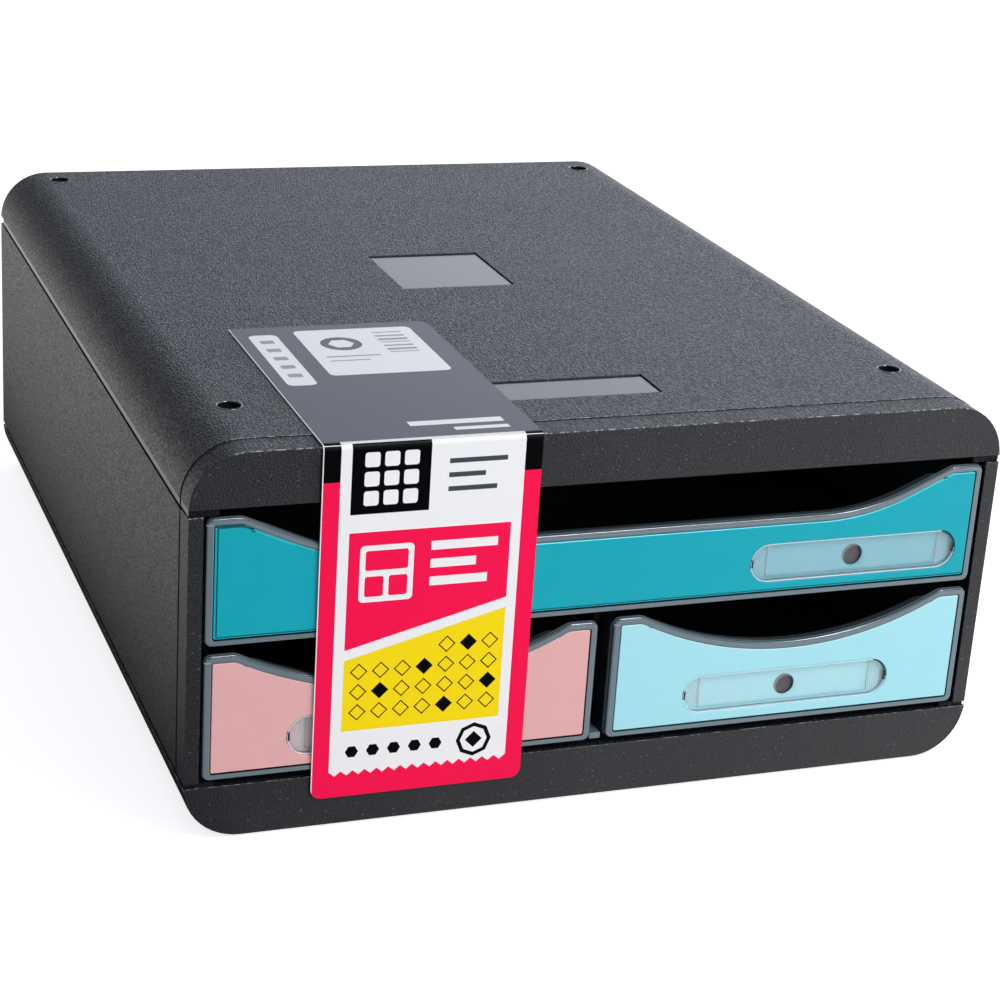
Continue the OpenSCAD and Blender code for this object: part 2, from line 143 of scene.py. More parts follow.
@dataclass(frozen=True)
class SparkErodedPolystyrene(Finish):
    """Injection-moulded charcoal polystyrene from a spark-eroded mould.

    The mould leaves a crisp sand-like grain about 0.3 mm wide. It is drawn coarser, about 0.5 mm wide and
    1.7 mm long along Y, and on level faces more than twice as deep, so that it shows at a low angle. Its
    pits trap light, so the surface mirrors little, and some of its tips carry a painted sparkle, a pale
    colour. A slow waviness of the wall, some 50 mm long, leaves the sheen patchy.
    """

    name: str = "polystyrene_spark_eroded_charcoal"
    dark: str = "#050609"
    pale: str = "#1D2027"
    tip: str = "#53555C"
    level: float = 0.48
    grain_mm: float = 0.4
    stretch: tuple[float, float, float] = (0.62, 0.24, 0.85)
    relief_mm: float = 0.26
    deeper: float = 2.3
    low: float = 0.44
    high: float = 0.6
    patch_mm: float = 52.0
    wave_mm: float = 2.4
    tip_mm: float = 1.3
    tip_rarity: float = 0.66

    def dress(self, tree: bpy.types.NodeTree, spot: bpy.types.NodeSocket) -> bpy.types.NodeSocket:
        """Builds grain, mottling and sparkle.

        Args:
            tree: node tree of the material.
            spot: socket of the object's own coordinates.

        Returns:
            Socket of the finished shader.
        """
        along = add(tree, "ShaderNodeVectorMath", {0: spot, 1: self.stretch}, operation="MULTIPLY")
        grain = add(tree, "ShaderNodeTexNoise", {"Vector": along.outputs[0], "Scale": 1 / (self.grain_mm * MM),
                                                 "Detail": 2.0, "Roughness": 0.65})
        patch = add(tree, "ShaderNodeTexNoise", {"Vector": spot, "Scale": 1 / (self.patch_mm * MM), "Detail": 2.0})
        # dark pits and paler tops, mottled by the slow patches
        speck = add(tree, "ShaderNodeMapRange", {"Value": grain.outputs["Fac"], "From Min": self.low,
                                                 "From Max": self.high})
        drift = add(tree, "ShaderNodeMath", {0: patch.outputs["Fac"], 1: 0.8, 2: -0.4}, operation="MULTIPLY_ADD")
        blend = add(tree, "ShaderNodeMath", {0: speck.outputs["Result"], 1: drift.outputs["Value"]},
                    use_clamp=True)
        tint = add(tree, "ShaderNodeMix", {"Factor": blend.outputs["Value"], COLOUR_1: linear(self.dark),
                                           COLOUR_2: linear(self.pale)}, data_type="RGBA")
        fleck = add(tree, "ShaderNodeMix", {"Factor": 0.35, COLOUR_1: tint.outputs[COLOUR_OUT],
                                            COLOUR_2: grain.outputs["Color"]},
                    data_type="RGBA", blend_type="SOFT_LIGHT")
        # painted sparkle: about a third of the cells carry a pale tip
        tips = add(tree, "ShaderNodeTexVoronoi", {"Vector": along.outputs[0], "Scale": 1 / (self.tip_mm * MM)})
        near = add(tree, "ShaderNodeMapRange", {"Value": tips.outputs["Distance"], "From Min": 0.2,
                                                "From Max": 0.1})
        draw = add(tree, "ShaderNodeSeparateColor", {0: tips.outputs["Color"]})
        rare = add(tree, "ShaderNodeMath", {0: draw.outputs[0], 1: self.tip_rarity}, operation="GREATER_THAN")
        shine = add(tree, "ShaderNodeMath", {0: near.outputs["Result"], 1: rare.outputs[0]}, operation="MULTIPLY")
        skin = add(tree, "ShaderNodeMix", {"Factor": shine.outputs[0], COLOUR_1: fleck.outputs[COLOUR_OUT],
                                           COLOUR_2: linear(self.tip)}, data_type="RGBA")
        # pits are duller than tops, and level faces are cut deeper
        gloss = add(tree, "ShaderNodeMapRange", {"Value": grain.outputs["Fac"], "From Min": 0.35, "From Max": 0.7,
                                                 "To Min": 0.62, "To Max": 0.3})
        wave = add(tree, "ShaderNodeBump", {"Height": patch.outputs["Fac"], "Strength": 0.5,
                                            "Distance": self.wave_mm * MM})
        facing = add(tree, "ShaderNodeSeparateXYZ", {0: add(tree, "ShaderNodeNewGeometry").outputs["Normal"]})
        depth = add(tree, "ShaderNodeMapRange", {"Value": facing.outputs["Z"], "From Min": 0.3,
                                                 "To Min": self.relief_mm * MM,
                                                 "To Max": self.relief_mm * self.deeper * MM})
        bump = add(tree, "ShaderNodeBump", {"Height": grain.outputs["Fac"], "Strength": 1.0,
                                            "Distance": depth.outputs["Result"], "Normal": wave.outputs["Normal"]})
        body = add(tree, "ShaderNodeBsdfPrincipled", {"Base Color": skin.outputs[COLOUR_OUT], "IOR": 1.55,
                                                      "Roughness": gloss.outputs["Result"],
                                                      "Specular IOR Level": self.level,
                                                      "Normal": bump.outputs["Normal"]})
        return body.outputs["BSDF"]


@dataclass(frozen=True)
class SatinPlastic(Finish):
    """Injection-moulded plastic from a fine-ground mould: even colour, soft clean highlights.

    The slight waviness of the moulding, 7 mm long, keeps the highlight from being ruler straight.
    """

    colour: str = "#74848C"
    rough: float = 0.34
    ior: float = 1.53
    level: float = 0.5
    wave_mm: float = 7.0
    relief_mm: float = 0.02
    grain_mm: float = 0.5
    drift: float = 0.06

    def dress(self, tree: bpy.types.NodeTree, spot: bpy.types.NodeSocket) -> bpy.types.NodeSocket:
        """Builds the colour drift, the fine grain and the waviness.

        Args:
            tree: node tree of the material.
            spot: socket of the object's own coordinates.

        Returns:
            Socket of the finished shader.
        """
        wave = add(tree, "ShaderNodeTexNoise", {"Vector": spot, "Scale": 1 / (self.wave_mm * MM), "Detail": 2.0})
        grain = add(tree, "ShaderNodeTexNoise", {"Vector": spot, "Scale": 1 / (self.grain_mm * MM), "Detail": 1.0})
        tint = add(tree, "ShaderNodeMix", {"Factor": wave.outputs["Fac"],
                                           COLOUR_1: shaded(self.colour, 1 - self.drift),
                                           COLOUR_2: shaded(self.colour, 1 + self.drift)}, data_type="RGBA")
        gloss = add(tree, "ShaderNodeMapRange", {"Value": grain.outputs["Fac"], "To Min": self.rough - 0.05,
                                                 "To Max": self.rough + 0.05})
        fine = add(tree, "ShaderNodeBump", {"Height": grain.outputs["Fac"], "Strength": 0.25,
                                            "Distance": 0.008 * MM})
        bump = add(tree, "ShaderNodeBump", {"Height": wave.outputs["Fac"], "Strength": 0.3,
                                            "Distance": self.relief_mm * MM, "Normal": fine.outputs["Normal"]})
        body = add(tree, "ShaderNodeBsdfPrincipled", {"Base Color": tint.outputs[COLOUR_OUT], "IOR": self.ior,
                                                      "Specular IOR Level": self.level,
                                                      "Roughness": gloss.outputs["Result"],
                                                      "Normal": bump.outputs["Normal"]})
        return body.outputs["BSDF"]


@dataclass(frozen=True)
class ClearPolystyrene(Finish):
    """Clear polystyrene window: water-clear with a hard surface gloss and a faint haze of moulding lines."""

    name: str = "polystyrene_clear_window"
    haze: float = 0.12
    colour: str = "#E6F2F4"

    def dress(self, tree: bpy.types.NodeTree, spot: bpy.types.NodeSocket) -> bpy.types.NodeSocket:
        """Builds a thin clear body whose haze varies a little.

        Args:
            tree: node tree of the material.
            spot: socket of the object's own coordinates.

        Returns:
            Socket of the finished shader.
        """
        cloud = add(tree, "ShaderNodeTexNoise", {"Vector": spot, "Scale": 1 / (9 * MM), "Detail": 2.0})
        veil = add(tree, "ShaderNodeMapRange", {"Value": cloud.outputs["Fac"], "To Min": self.haze - 0.05,
                                                "To Max": self.haze + 0.05})
        body = add(tree, "ShaderNodeBsdfPrincipled", {"Base Color": linear(self.colour), "Roughness": 0.12,
                                                      "IOR": 1.59, "Alpha": veil.outputs["Result"]})
        return body.outputs["BSDF"]


@dataclass(frozen=True)
class MouldedRubber(Finish):
    """Black moulded rubber: dull, with a faint dusty bloom."""

    name: str = "rubber_moulded_black"
    colour: str = "#151517"
    dusty: str = "#2A2A2C"

    def dress(self, tree: bpy.types.NodeTree, spot: bpy.types.NodeSocket) -> bpy.types.NodeSocket:
        """Builds the bloom and a fine relief.

        Args:
            tree: node tree of the material.
            spot: socket of the object's own coordinates.

        Returns:
            Socket of the finished shader.
        """
        bloom = add(tree, "ShaderNodeTexNoise", {"Vector": spot, "Scale": 1 / (1.5 * MM), "Detail": 3.0})
        tint = add(tree, "ShaderNodeMix", {"Factor": bloom.outputs["Fac"], COLOUR_1: linear(self.colour),
                                           COLOUR_2: linear(self.dusty)}, data_type="RGBA")
        bump = add(tree, "ShaderNodeBump", {"Height": bloom.outputs["Fac"], "Strength": 0.4,
                                            "Distance": 0.04 * MM})
        body = add(tree, "ShaderNodeBsdfPrincipled", {"Base Color": tint.outputs[COLOUR_OUT], "Roughness": 0.75,
                                                      "Normal": bump.outputs["Normal"]})
        return body.outputs["BSDF"]


@dataclass(frozen=True)
class CoatedCard(Finish):
    """Clay-coated board with offset ink under a thin varnish: flat colour, soft sheen, faint fibre relief."""

    colour: str = "#F2F2F4"
    rough: float = 0.38
    level: float = 0.2

    def dress(self, tree: bpy.types.NodeTree, spot: bpy.types.NodeSocket) -> bpy.types.NodeSocket:
        """Builds ink density, fibre relief and varnish.

        Args:
            tree: node tree of the material.
            spot: socket of the object's own coordinates.

        Returns:
            Socket of the finished shader.
        """
        fibre = add(tree, "ShaderNodeTexNoise", {"Vector": spot, "Scale": 1 / (0.9 * MM), "Detail": 3.0})
        tint = add(tree, "ShaderNodeMix", {"Factor": fibre.outputs["Fac"], COLOUR_1: shaded(self.colour, 0.95),
                                           COLOUR_2: linear(self.colour)}, data_type="RGBA")
        bump = add(tree, "ShaderNodeBump", {"Height": fibre.outputs["Fac"], "Strength": 0.2,
                                            "Distance": 0.012 * MM})
        body = add(tree, "ShaderNodeBsdfPrincipled", {"Base Color": tint.outputs[COLOUR_OUT],
                                                      "Roughness": self.rough, "IOR": 1.5,
                                                      "Specular IOR Level": self.level,
                                                      "Normal": bump.outputs["Normal"]})
        return body.outputs["BSDF"]


# Grained black shell: sand-like sparkle, partly painted on pale tips, and a grey sheen where it is seen at a low
# angle
CHARCOAL = SparkErodedPolystyrene()
# Painted highlight: a broken pale line along the edges of the front and rear outline, where light catches them
PAINTED_ARRIS_HIGHLIGHT = SparkErodedPolystyrene("polystyrene_burnished_arris", dark="#0C0D0F", pale="#8C8E94", level=0.7,
                               grain_mm=0.9, relief_mm=0.3, low=0.5, high=0.58)
# The same plastic with painted shade, where little light comes: nearly black, hardly any sheen
INSIDE = SparkErodedPolystyrene("polystyrene_charcoal_inside", dark="#060607", pale="#1A1B20", level=0.12)
# Walls of the bead groove and of the seams: painted shade, a plain dark line
GROOVE = SparkErodedPolystyrene("polystyrene_groove_unlit", dark="#060607", pale="#0E0E10", level=0.05)
# Polished fields of the mould: smooth grey mirrors in the grain
POLISHED = SatinPlastic("polystyrene_polished_charcoal", colour="#222329", rough=0.2, ior=1.5, level=0.48,
                        relief_mm=0.012, drift=0.1)
# Turned lips of the stacking wells: a thin bright ring
LIP = SatinPlastic("polystyrene_polished_lip", colour="#3A3C42", rough=0.08, ior=1.6, level=1.0, relief_mm=0.005)
# Frames and rims of the drawers: satin blue-grey with long, narrow highlights
MOULDING = SatinPlastic("abs_satin_blue_grey", colour="#6B7A81", rough=0.17, level=0.8, grain_mm=3.0,
                        relief_mm=0.01)
# Wall of the finger hole behind a window: painted shade, a dull warm grey
PAINTED_HOLE_SHADE = SatinPlastic("abs_satin_painted_hole_shade", colour="#625D62", rough=0.5, level=0.2)
# Body of a window: clear, with a faint haze
CLEAR = ClearPolystyrene()
# Ribs behind the ends of a window: thin milky lines
RIBBED = ClearPolystyrene("polystyrene_clear_ribs", haze=0.3, colour="#FFFFFF")
# Edge of a window where it turns away from the light: painted shade, a dark teal line
DUSK = SatinPlastic("polystyrene_clear_edge_unlit", colour="#0A2C34", rough=0.5, level=0.1)
# Boxes and runners of the drawers: the same moulding with painted shade
PAINTED_TRAY_SHADE = SatinPlastic("abs_satin_tray_painted_shade", colour="#3A4247", rough=0.35, level=0.4)
# Parting marks and chamfers that catch the light: a painted highlight, a pale hairline
GLINT = SatinPlastic("abs_painted_edge_highlight", colour="#B4C0C6", rough=0.25, level=0.8)
# Turned edge of a window: a painted highlight, a white line
BRIGHT = ClearPolystyrene("polystyrene_clear_edge", haze=0.85, colour="#F4FBFC")
# Feet: dull black
RUBBER = MouldedRubber()


@dataclass(frozen=True)
class Palette:
    """Front colours: plate, label card; painted shade of pocket lines, plate edge, gap; painted edge highlight."""

    plate: str
    label: str
    pocket: str
    edge: str
    gap: str
    glint: str


class Tint(Enum):
    """The three drawer fronts by colour."""

    TEAL = Palette("#00A8B7", "#74BFCC", "#5F9FAC", "#0A6470", "#0B0F12", "#48D3DE")
    ROSE = Palette("#E8B0AE", "#DDBFC0", "#C09A9C", "#B98080", "#120D0D", "#F0C6C6")
    SKY = Palette("#A9E4EC", "#B2EAF0", "#8ECAD6", "#35B5C4", "#103E47", "#D6F8FC")


class Ink(Enum):
    """Inks of the tag, in the order of its material slots."""

    WHITE = "#F7F6F5"
    SLATE = "#444852"
    BLACK = "#060709"
    RED = "#FF004C"
    YELLOW = "#FFE000"
    GREY = "#9A9CA4"
    BACK = "#E6E4DF"


# ---------------------------------------------------------------- meshes


def arc(cx: float, cz: float, r: float, start: float, end: float, steps: int) -> list[Flat]:
    """Points of a circular arc.

    Args:
        cx: centre, first coordinate.
        cz: centre, second coordinate.
        r: radius.
        start: first angle in degrees.
        end: last angle in degrees.
        steps: number of chords.

    Returns:
        steps + 1 points.
    """
    angles = [math.radians(start + (end - start) * i / steps) for i in range(steps + 1)]
    return [(cx + r * math.cos(a), cz + r * math.sin(a)) for a in angles]


def loft(rings: Sequence[Sequence[Vector]]) -> bmesh.types.BMesh:
    """Joins closed rings of equal length into a closed skin, its first and last ring capped.

    Args:
        rings: rings of points in millimetres.

    Returns:
        The mesh in metres, faces outwards.
    """
    bm = bmesh.new()
    rows = [[bm.verts.new(Vector(p) * MM) for p in ring] for ring in rings]
    for a, b in zip(rows, rows[1:]):
        for i in range(len(a)):
            j = (i + 1) % len(a)
            bm.faces.new((a[i], a[j], b[j], b[i]))
    bm.faces.new(list(reversed(rows[0])))
    bm.faces.new(rows[-1])
    bmesh.ops.remove_doubles(bm, verts=bm.verts, dist=1e-7)
    bmesh.ops.recalc_face_normals(bm, faces=bm.faces)
    return bm


def block(low: Sequence[float], high: Sequence[float], edge: float, segments: int = 2) -> bmesh.types.BMesh:
    """A box with rounded edges.

    Args:
        low: lowest corner in millimetres.
        high: highest corner in millimetres.
        edge: radius of its edges in millimetres.
        segments: chords of that rounding.

    Returns:
        The mesh in metres.
    """
    bm = bmesh.new()
    size = [(b - a) * MM for a, b in zip(low, high)]
    middle = [(a + b) / 2 * MM for a, b in zip(low, high)]
    bmesh.ops.create_cube(bm, size=1, matrix=Matrix.Translation(middle) @ Matrix.Diagonal((*size, 1)))
    bmesh.ops.bevel(bm, geom=bm.edges[:], offset=edge * MM, segments=segments, profile=0.5, affect="EDGES",
                    clamp_overlap=True)
    return bm


def merge(target: bmesh.types.BMesh, *others: bmesh.types.BMesh) -> bmesh.types.BMesh:
    """Adds meshes to a target and returns it.

    Args:
        target: mesh that takes them in.
        others: meshes to add, freed afterwards.

    Returns:
        The target.
    """
    for other in others:
        carrier = bpy.data.meshes.new("carrier")
        other.to_mesh(carrier)
        other.free()
        target.from_mesh(carrier)
        bpy.data.meshes.remove(carrier)
    return target


def cad_copy(node: str) -> bmesh.types.BMesh:
    """Merged copy of a CAD node's mesh, its flat faces joined, ready for edge work.

    Args:
        node: name of the CAD node.

    Returns:
        The copy, in metres.
    """
    bm = bmesh.new()
    bm.from_mesh(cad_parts[node].data)
    bmesh.ops.remove_doubles(bm, verts=bm.verts, dist=WELD)
    bmesh.ops.dissolve_limit(bm, angle_limit=math.radians(FLAT_ANGLE), verts=bm.verts, edges=bm.edges)
    return bm


def round_edges(bm: bmesh.types.BMesh, chosen: Callable[[Vector], bool], width: float, segments: int = 3,
                dye: int = 0) -> int:
    """Rounds the sharp edges whose two ends are both chosen.

    Args:
        bm: mesh in metres.
        chosen: test of a point in millimetres.
        width: width of the rounding in millimetres.
        segments: chords of the rounding.
        dye: material index of the new faces.

    Returns:
        The number of edges rounded.
    """
    edges = [e for e in bm.edges if e.is_manifold and abs(e.calc_face_angle(0)) > math.radians(SHARP_ANGLE)
             and all(chosen(v.co / MM) for v in e.verts)]
    if edges:
        made = bmesh.ops.bevel(bm, geom=edges, offset=width * MM, offset_type="OFFSET", segments=segments,
                               profile=0.5, affect="EDGES", clamp_overlap=True)
        for face in made["faces"]:
            face.material_index = dye
    return len(edges)


def settle(obj: bpy.types.Object) -> bpy.types.Object:
    """Turns an object's modifiers into plain mesh and returns the object.

    Args:
        obj: object with modifiers.

    Returns:
        The same object, without them.
    """
    graph = bpy.context.evaluated_depsgraph_get()
    mesh = bpy.data.meshes.new_from_object(obj.evaluated_get(graph), preserve_all_data_layers=True,
                                           depsgraph=graph)
    obj.modifiers.clear()
    obj.data = mesh
    mesh.name = obj.name
    return obj


@dataclass
class Piece:
    """What a finished piece is called, rides on and stands for."""

    name: str
    body: str
    finishes: Sequence[Finish]
    slot: str = ""
    stands_for: Sequence[str] = ()
    crease: float = 42.0

    def carry(self, obj: bpy.types.Object) -> bpy.types.Object:
        """Ties a finished object to its body, hides the CAD nodes it stands for and reports it.

        Args:
            obj: object with its final mesh.

        Returns:
            The same object.
        """
        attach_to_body(obj, self.body)
        if self.stands_for:
            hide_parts(*self.stands_for)
        LOG.info("%s: %d faces on %s", obj.name, len(obj.data.polygons), self.body)
        return obj

    def shell(self, bm: bmesh.types.BMesh, attach: bool = True) -> bpy.types.Object:
        """Makes the object from a mesh, with smooth shading between its creases.

        Args:
            bm: mesh in metres; it is freed.
            attach: ties it to its body at once.

        Returns:
            The object.
        """
        mesh = bpy.data.meshes.new(self.name)
        bm.to_mesh(mesh)
        bm.free()
        if "custom_normal" in mesh.attributes:
            mesh.attributes.remove(mesh.attributes["custom_normal"])
        obj = bpy.data.objects.new(self.name, mesh)
        bpy.context.scene.collection.objects.link(obj)
        for finish in self.finishes:
            mesh.materials.append(finish.material())
        mesh.polygons.foreach_set("use_smooth", [True] * len(mesh.polygons))
        mesh.set_sharp_from_angle(angle=math.radians(self.crease))
        evener = obj.modifiers.new("even_shading", "WEIGHTED_NORMAL")
        evener.keep_sharp = True
        settle(obj)
        return self.carry(obj) if attach else obj


def cut(obj: bpy.types.Object, tool: bmesh.types.BMesh) -> None:
    """Cuts a closed tool mesh out of an object's mesh, before it rides on anything.

    Args:
        obj: object to cut.
        tool: mesh to take away, freed afterwards.
    """
    mesh = bpy.data.meshes.new("tool")
    tool.to_mesh(mesh)
    tool.free()
    cutter = bpy.data.objects.new("tool", mesh)
    bpy.context.scene.collection.objects.link(cutter)
    knife = obj.modifiers.new("cut", "BOOLEAN")
    knife.operation, knife.solver, knife.object = "DIFFERENCE", "EXACT", cutter
    settle(obj)
    bpy.data.objects.remove(cutter)
    bpy.data.meshes.remove(mesh)


def bm_cut(bm: bmesh.types.BMesh, tool: bmesh.types.BMesh) -> bmesh.types.BMesh:
    """Cuts a closed tool mesh out of another mesh.

    Args:
        bm: mesh in metres; it is freed.
        tool: closed mesh in metres; it is freed.

    Returns:
        The cut mesh.
    """
    mesh = bpy.data.meshes.new("work")
    bm.to_mesh(mesh)
    bm.free()
    obj = bpy.data.objects.new("work", mesh)
    bpy.context.scene.collection.objects.link(obj)
    cut(obj, tool)
    made = bmesh.new()
    made.from_mesh(obj.data)
    bpy.data.objects.remove(obj)
    return made


# ---------------------------------------------------------------- geometry trees


class GrowTree:
    """A Geometry Nodes tree with named size inputs, built node by node."""

    def __init__(self, name: str, sizes: dict[str, float]) -> None:
        """Opens the tree.

        Args:
            name: name of the tree.
            sizes: input name to its value; whole numbers become integer inputs.
        """
        self.tree = bpy.data.node_groups.new(name, "GeometryNodeTree")
        self.sizes: dict[str, tuple[str, float]] = {}
        self.tree.interface.new_socket("Base", in_out="INPUT", socket_type="NodeSocketGeometry")
        for key, value in sizes.items():
            kind = "NodeSocketInt" if isinstance(value, int) else "NodeSocketFloat"
            item = self.tree.interface.new_socket(key, in_out="INPUT", socket_type=kind)
            self.sizes[key] = (item.identifier, value)
        self.tree.interface.new_socket("Geometry", in_out="OUTPUT", socket_type="NodeSocketGeometry")
        self.start = self.node("NodeGroupInput")

    def node(self, kind: str, inputs: dict | None = None, **settings: object) -> bpy.types.Node:
        """Adds a node to the tree."""
        return add(self.tree, kind, inputs, **settings)

    def size(self, key: str) -> bpy.types.NodeSocket:
        """Output socket of a named input."""
        return self.start.outputs[key]

    def close(self, shape: bpy.types.NodeSocket, finish: Finish) -> None:
        """Ends the tree in real geometry with its material.

        Args:
            shape: socket of the geometry.
            finish: finish that all of it gets.
        """
        real = self.node("GeometryNodeRealizeInstances", {"Geometry": shape})
        dyed = self.node("GeometryNodeSetMaterial", {"Geometry": real.outputs[0],
                                                     "Material": finish.material()})
        self.node("NodeGroupOutput", {0: dyed.outputs[0]})

    def grow(self, piece: Piece, base: bpy.types.Mesh) -> bpy.types.Object:
        """Runs the tree on a base mesh and ties the plain result to its body.

        Args:
            piece: name, body and crease of the result, and the CAD nodes it stands for.
            base: mesh that the tree starts from.

        Returns:
            The finished object.
        """
        obj = bpy.data.objects.new(piece.name, base)
        bpy.context.scene.collection.objects.link(obj)
        stem = obj.modifiers.new("grow", "NODES")
        stem.node_group = self.tree
        for identifier, value in self.sizes.values():
            stem[identifier] = value
        settle(obj)
        obj.data.polygons.foreach_set("use_smooth", [True] * len(obj.data.polygons))
        obj.data.set_sharp_from_angle(angle=math.radians(piece.crease))
        return piece.carry(obj)


def wire(name: str, points: Sequence[Sequence[float]], closed: bool = False) -> bpy.types.Mesh:
    """A mesh of edges only, through points in millimetres.

    Args:
        name: name of the mesh.
        points: corners in millimetres.
        closed: whether the last point is tied to the first.

    Returns:
        The mesh, in metres.
    """
    mesh = bpy.data.meshes.new(name)
    links = [(i, i + 1) for i in range(len(points) - 1)] + ([(len(points) - 1, 0)] if closed else [])
    mesh.from_pydata([tuple(c * MM for c in p) for p in points], links, [])
    return mesh


# ---------------------------------------------------------------- cabinet


@dataclass
class Cabinet:
    """Charcoal shell: cover, base, side panels, back panel, divider and feet."""

    width: float = 278.0
    depth: float = 347.0
    height: float = 130.0
    foot_proud: float = 0.8
    edge_r: float = 18.7
    cover_z: float = 111.9
    deck_z: float = 18.7
    flange_z: float = 109.6
    groove_y: float = -162.6
    groove_half: float = 0.3
    band_drop: float = 0.25
    edge: float = 0.4
    fine_edge: float = 0.3
    trim_edge: float = 0.15
    panel_edge: float = 0.35
    arris_stop: float = 15.0
    panel_deep: float = 0.5
    well_deep: float = 12.0
    well_r: float = 4.2
    lip_r: float = 0.34
    foot_h: float = 1.7
    foot_chamfer: float = 0.3
    wells: tuple[Flat, ...] = ((-116.6, -132.1), (116.6, -132.1), (-116.6, 160.1), (116.6, 160.1))
    panels: tuple[tuple[float, float, float, float], ...] = ((-21.75, 21.75, -14.8, 29.8),
                                                             (-27.0, 27.0, -142.25, -123.55))
    foot_spots: tuple[Flat, ...] = ((-108, -130.5), (108, -130.5), (-108, 130.5), (108, 130.5))

    @property
    def near_top(self) -> float:
        """Level above which only the rim of the top face lies."""
        return self.height - 0.1

    @property
    def rear(self) -> float:
        """How far the front and rear planes lie from the middle."""
        return self.depth / 2

    def sunk(self, p: Vector) -> float:
        """How deep a point lies under the cabinet's rounded outline, seen from the front.

        Args:
            p: point in millimetres.

        Returns:
            Depth in millimetres, below zero outside.
        """
        half_h = (self.height - self.foot_proud) / 2
        x = abs(p.x) - (self.width / 2 - self.edge_r)
        z = abs(p.z - self.foot_proud - half_h) - (half_h - self.edge_r)
        return self.edge_r - math.hypot(max(x, 0), max(z, 0)) - min(max(x, z), 0)

    def inward(self, p: Vector) -> Vector:
        """Unit vector into the cabinet from a point of its rounded outline.

        Args:
            p: point in millimetres.

        Returns:
            The vector, without a part along the depth.
        """
        half_h = (self.height - self.foot_proud) / 2
        rise = p.z - self.foot_proud - half_h
        x = max(abs(p.x) - self.width / 2 + self.edge_r, 0.0)
        z = max(abs(rise) - half_h + self.edge_r, 0.0)
        return -Vector((math.copysign(x, p.x), 0, math.copysign(z, rise))).normalized()

    def lower_band(self, bm: bmesh.types.BMesh, dye: int) -> None:
        """Sets the band before the groove a little lower than the rest and paints shade on the groove's walls.

        Args:
            bm: mesh in metres.
            dye: material index of the groove's walls.
        """
        for v in bm.verts:
            p = v.co / MM
            if p.y < self.groove_y and self.sunk(p) < NEAR:
                v.co += self.inward(p) * self.band_drop * MM
        for face in bm.faces:
            c = face.calc_center_median() / MM
            if abs(c.y - self.groove_y) < self.groove_half + NEAR and self.sunk(c) < 0.6:
                face.material_index = dye

    def between(self, p: Vector) -> bool:
        """True from the sill's head up to the cover's foot, where the shells meet the side panels."""
        return self.deck_z - 0.1 < p.z < self.cover_z + 0.1

    def ends(self, p: Vector) -> bool:
        """True on the outline of the front and rear planes, off the seams."""
        return abs(abs(p.y) - self.rear) < ON and self.sunk(p) < 0.35 and not self.between(p)

    def mouth(self, p: Vector) -> bool:
        """True on the front and rear planes, inside their outline or at a seam."""
        return abs(abs(p.y) - self.rear) < ON and (self.sunk(p) > 0.35 or self.between(p))

    def groove(self, p: Vector) -> bool:
        """True on the rear edge of the bead groove."""
        return abs(p.y - self.groove_y - self.groove_half) < NEAR and self.sunk(p) < 0.1

    def seam(self, p: Vector, level: float) -> bool:
        """True on the outline at a level, between the front and rear planes."""
        return p.z < level + ON and self.sunk(p) < 0.3 and abs(p.y) < self.rear - 1.5

    def on_panel(self, p: Vector, slack: float) -> bool:
        """True within a polished panel of the top, grown by slack."""
        return any(x0 - slack < p.x < x1 + slack and y0 - slack < p.y < y1 + slack
                   for x0, x1, y0, y1 in self.panels)

    def from_well(self, p: Vector) -> float:
        """Distance of a point, seen from above, from the wall of the nearest stacking well."""
        return min(math.hypot(p.x - x, p.y - y) for x, y in self.wells) - self.well_r

    def build_cover(self) -> None:
        """Top cover with its wells, polished panels and bead groove."""
        coats = (CHARCOAL, PAINTED_ARRIS_HIGHLIGHT, POLISHED, GROOVE)
        plain, arris_highlight, polished, groove = range(len(coats))
        bm = cad_copy("top_cover")
        for face in bm.faces:
            c = face.calc_center_median() / MM
            sunk_field = abs(c.z - self.height + self.panel_deep) < 0.2 and self.on_panel(c, 0.01)
            well_wall = (self.height - self.well_deep - 1 < c.z < self.near_top and self.from_well(c) < NEAR)
            if sunk_field or well_wall:
                face.material_index = polished
        self.lower_band(bm, groove)
        # painted highlight along the front and rear outline and the groove's rear edge, ending short of the sides
        count = round_edges(bm, self.ends, self.edge, 3, arris_highlight)
        count += round_edges(bm, self.groove, self.trim_edge, 1, arris_highlight)
        for face in bm.faces:
            out = abs(face.calc_center_median().x) / MM
            if face.material_index == arris_highlight and out > self.width / 2 - self.arris_stop:
                face.material_index = plain
        count += round_edges(bm, self.mouth, self.edge, 2)
        count += round_edges(bm, lambda p: p.z > self.near_top and abs(self.from_well(p)) < 0.06, 0.2, 2, polished)
        count += round_edges(bm, lambda p: p.z > self.near_top and self.on_panel(p, NEAR), self.trim_edge, 2)
        count += round_edges(bm, lambda p: self.seam(p, self.cover_z), self.fine_edge, 2)
        LOG.info("cover: %d edges rounded", count)
        Piece("top_cover_shell", "cabinet", coats, "charcoal_shell", ("top_cover",)).shell(bm)

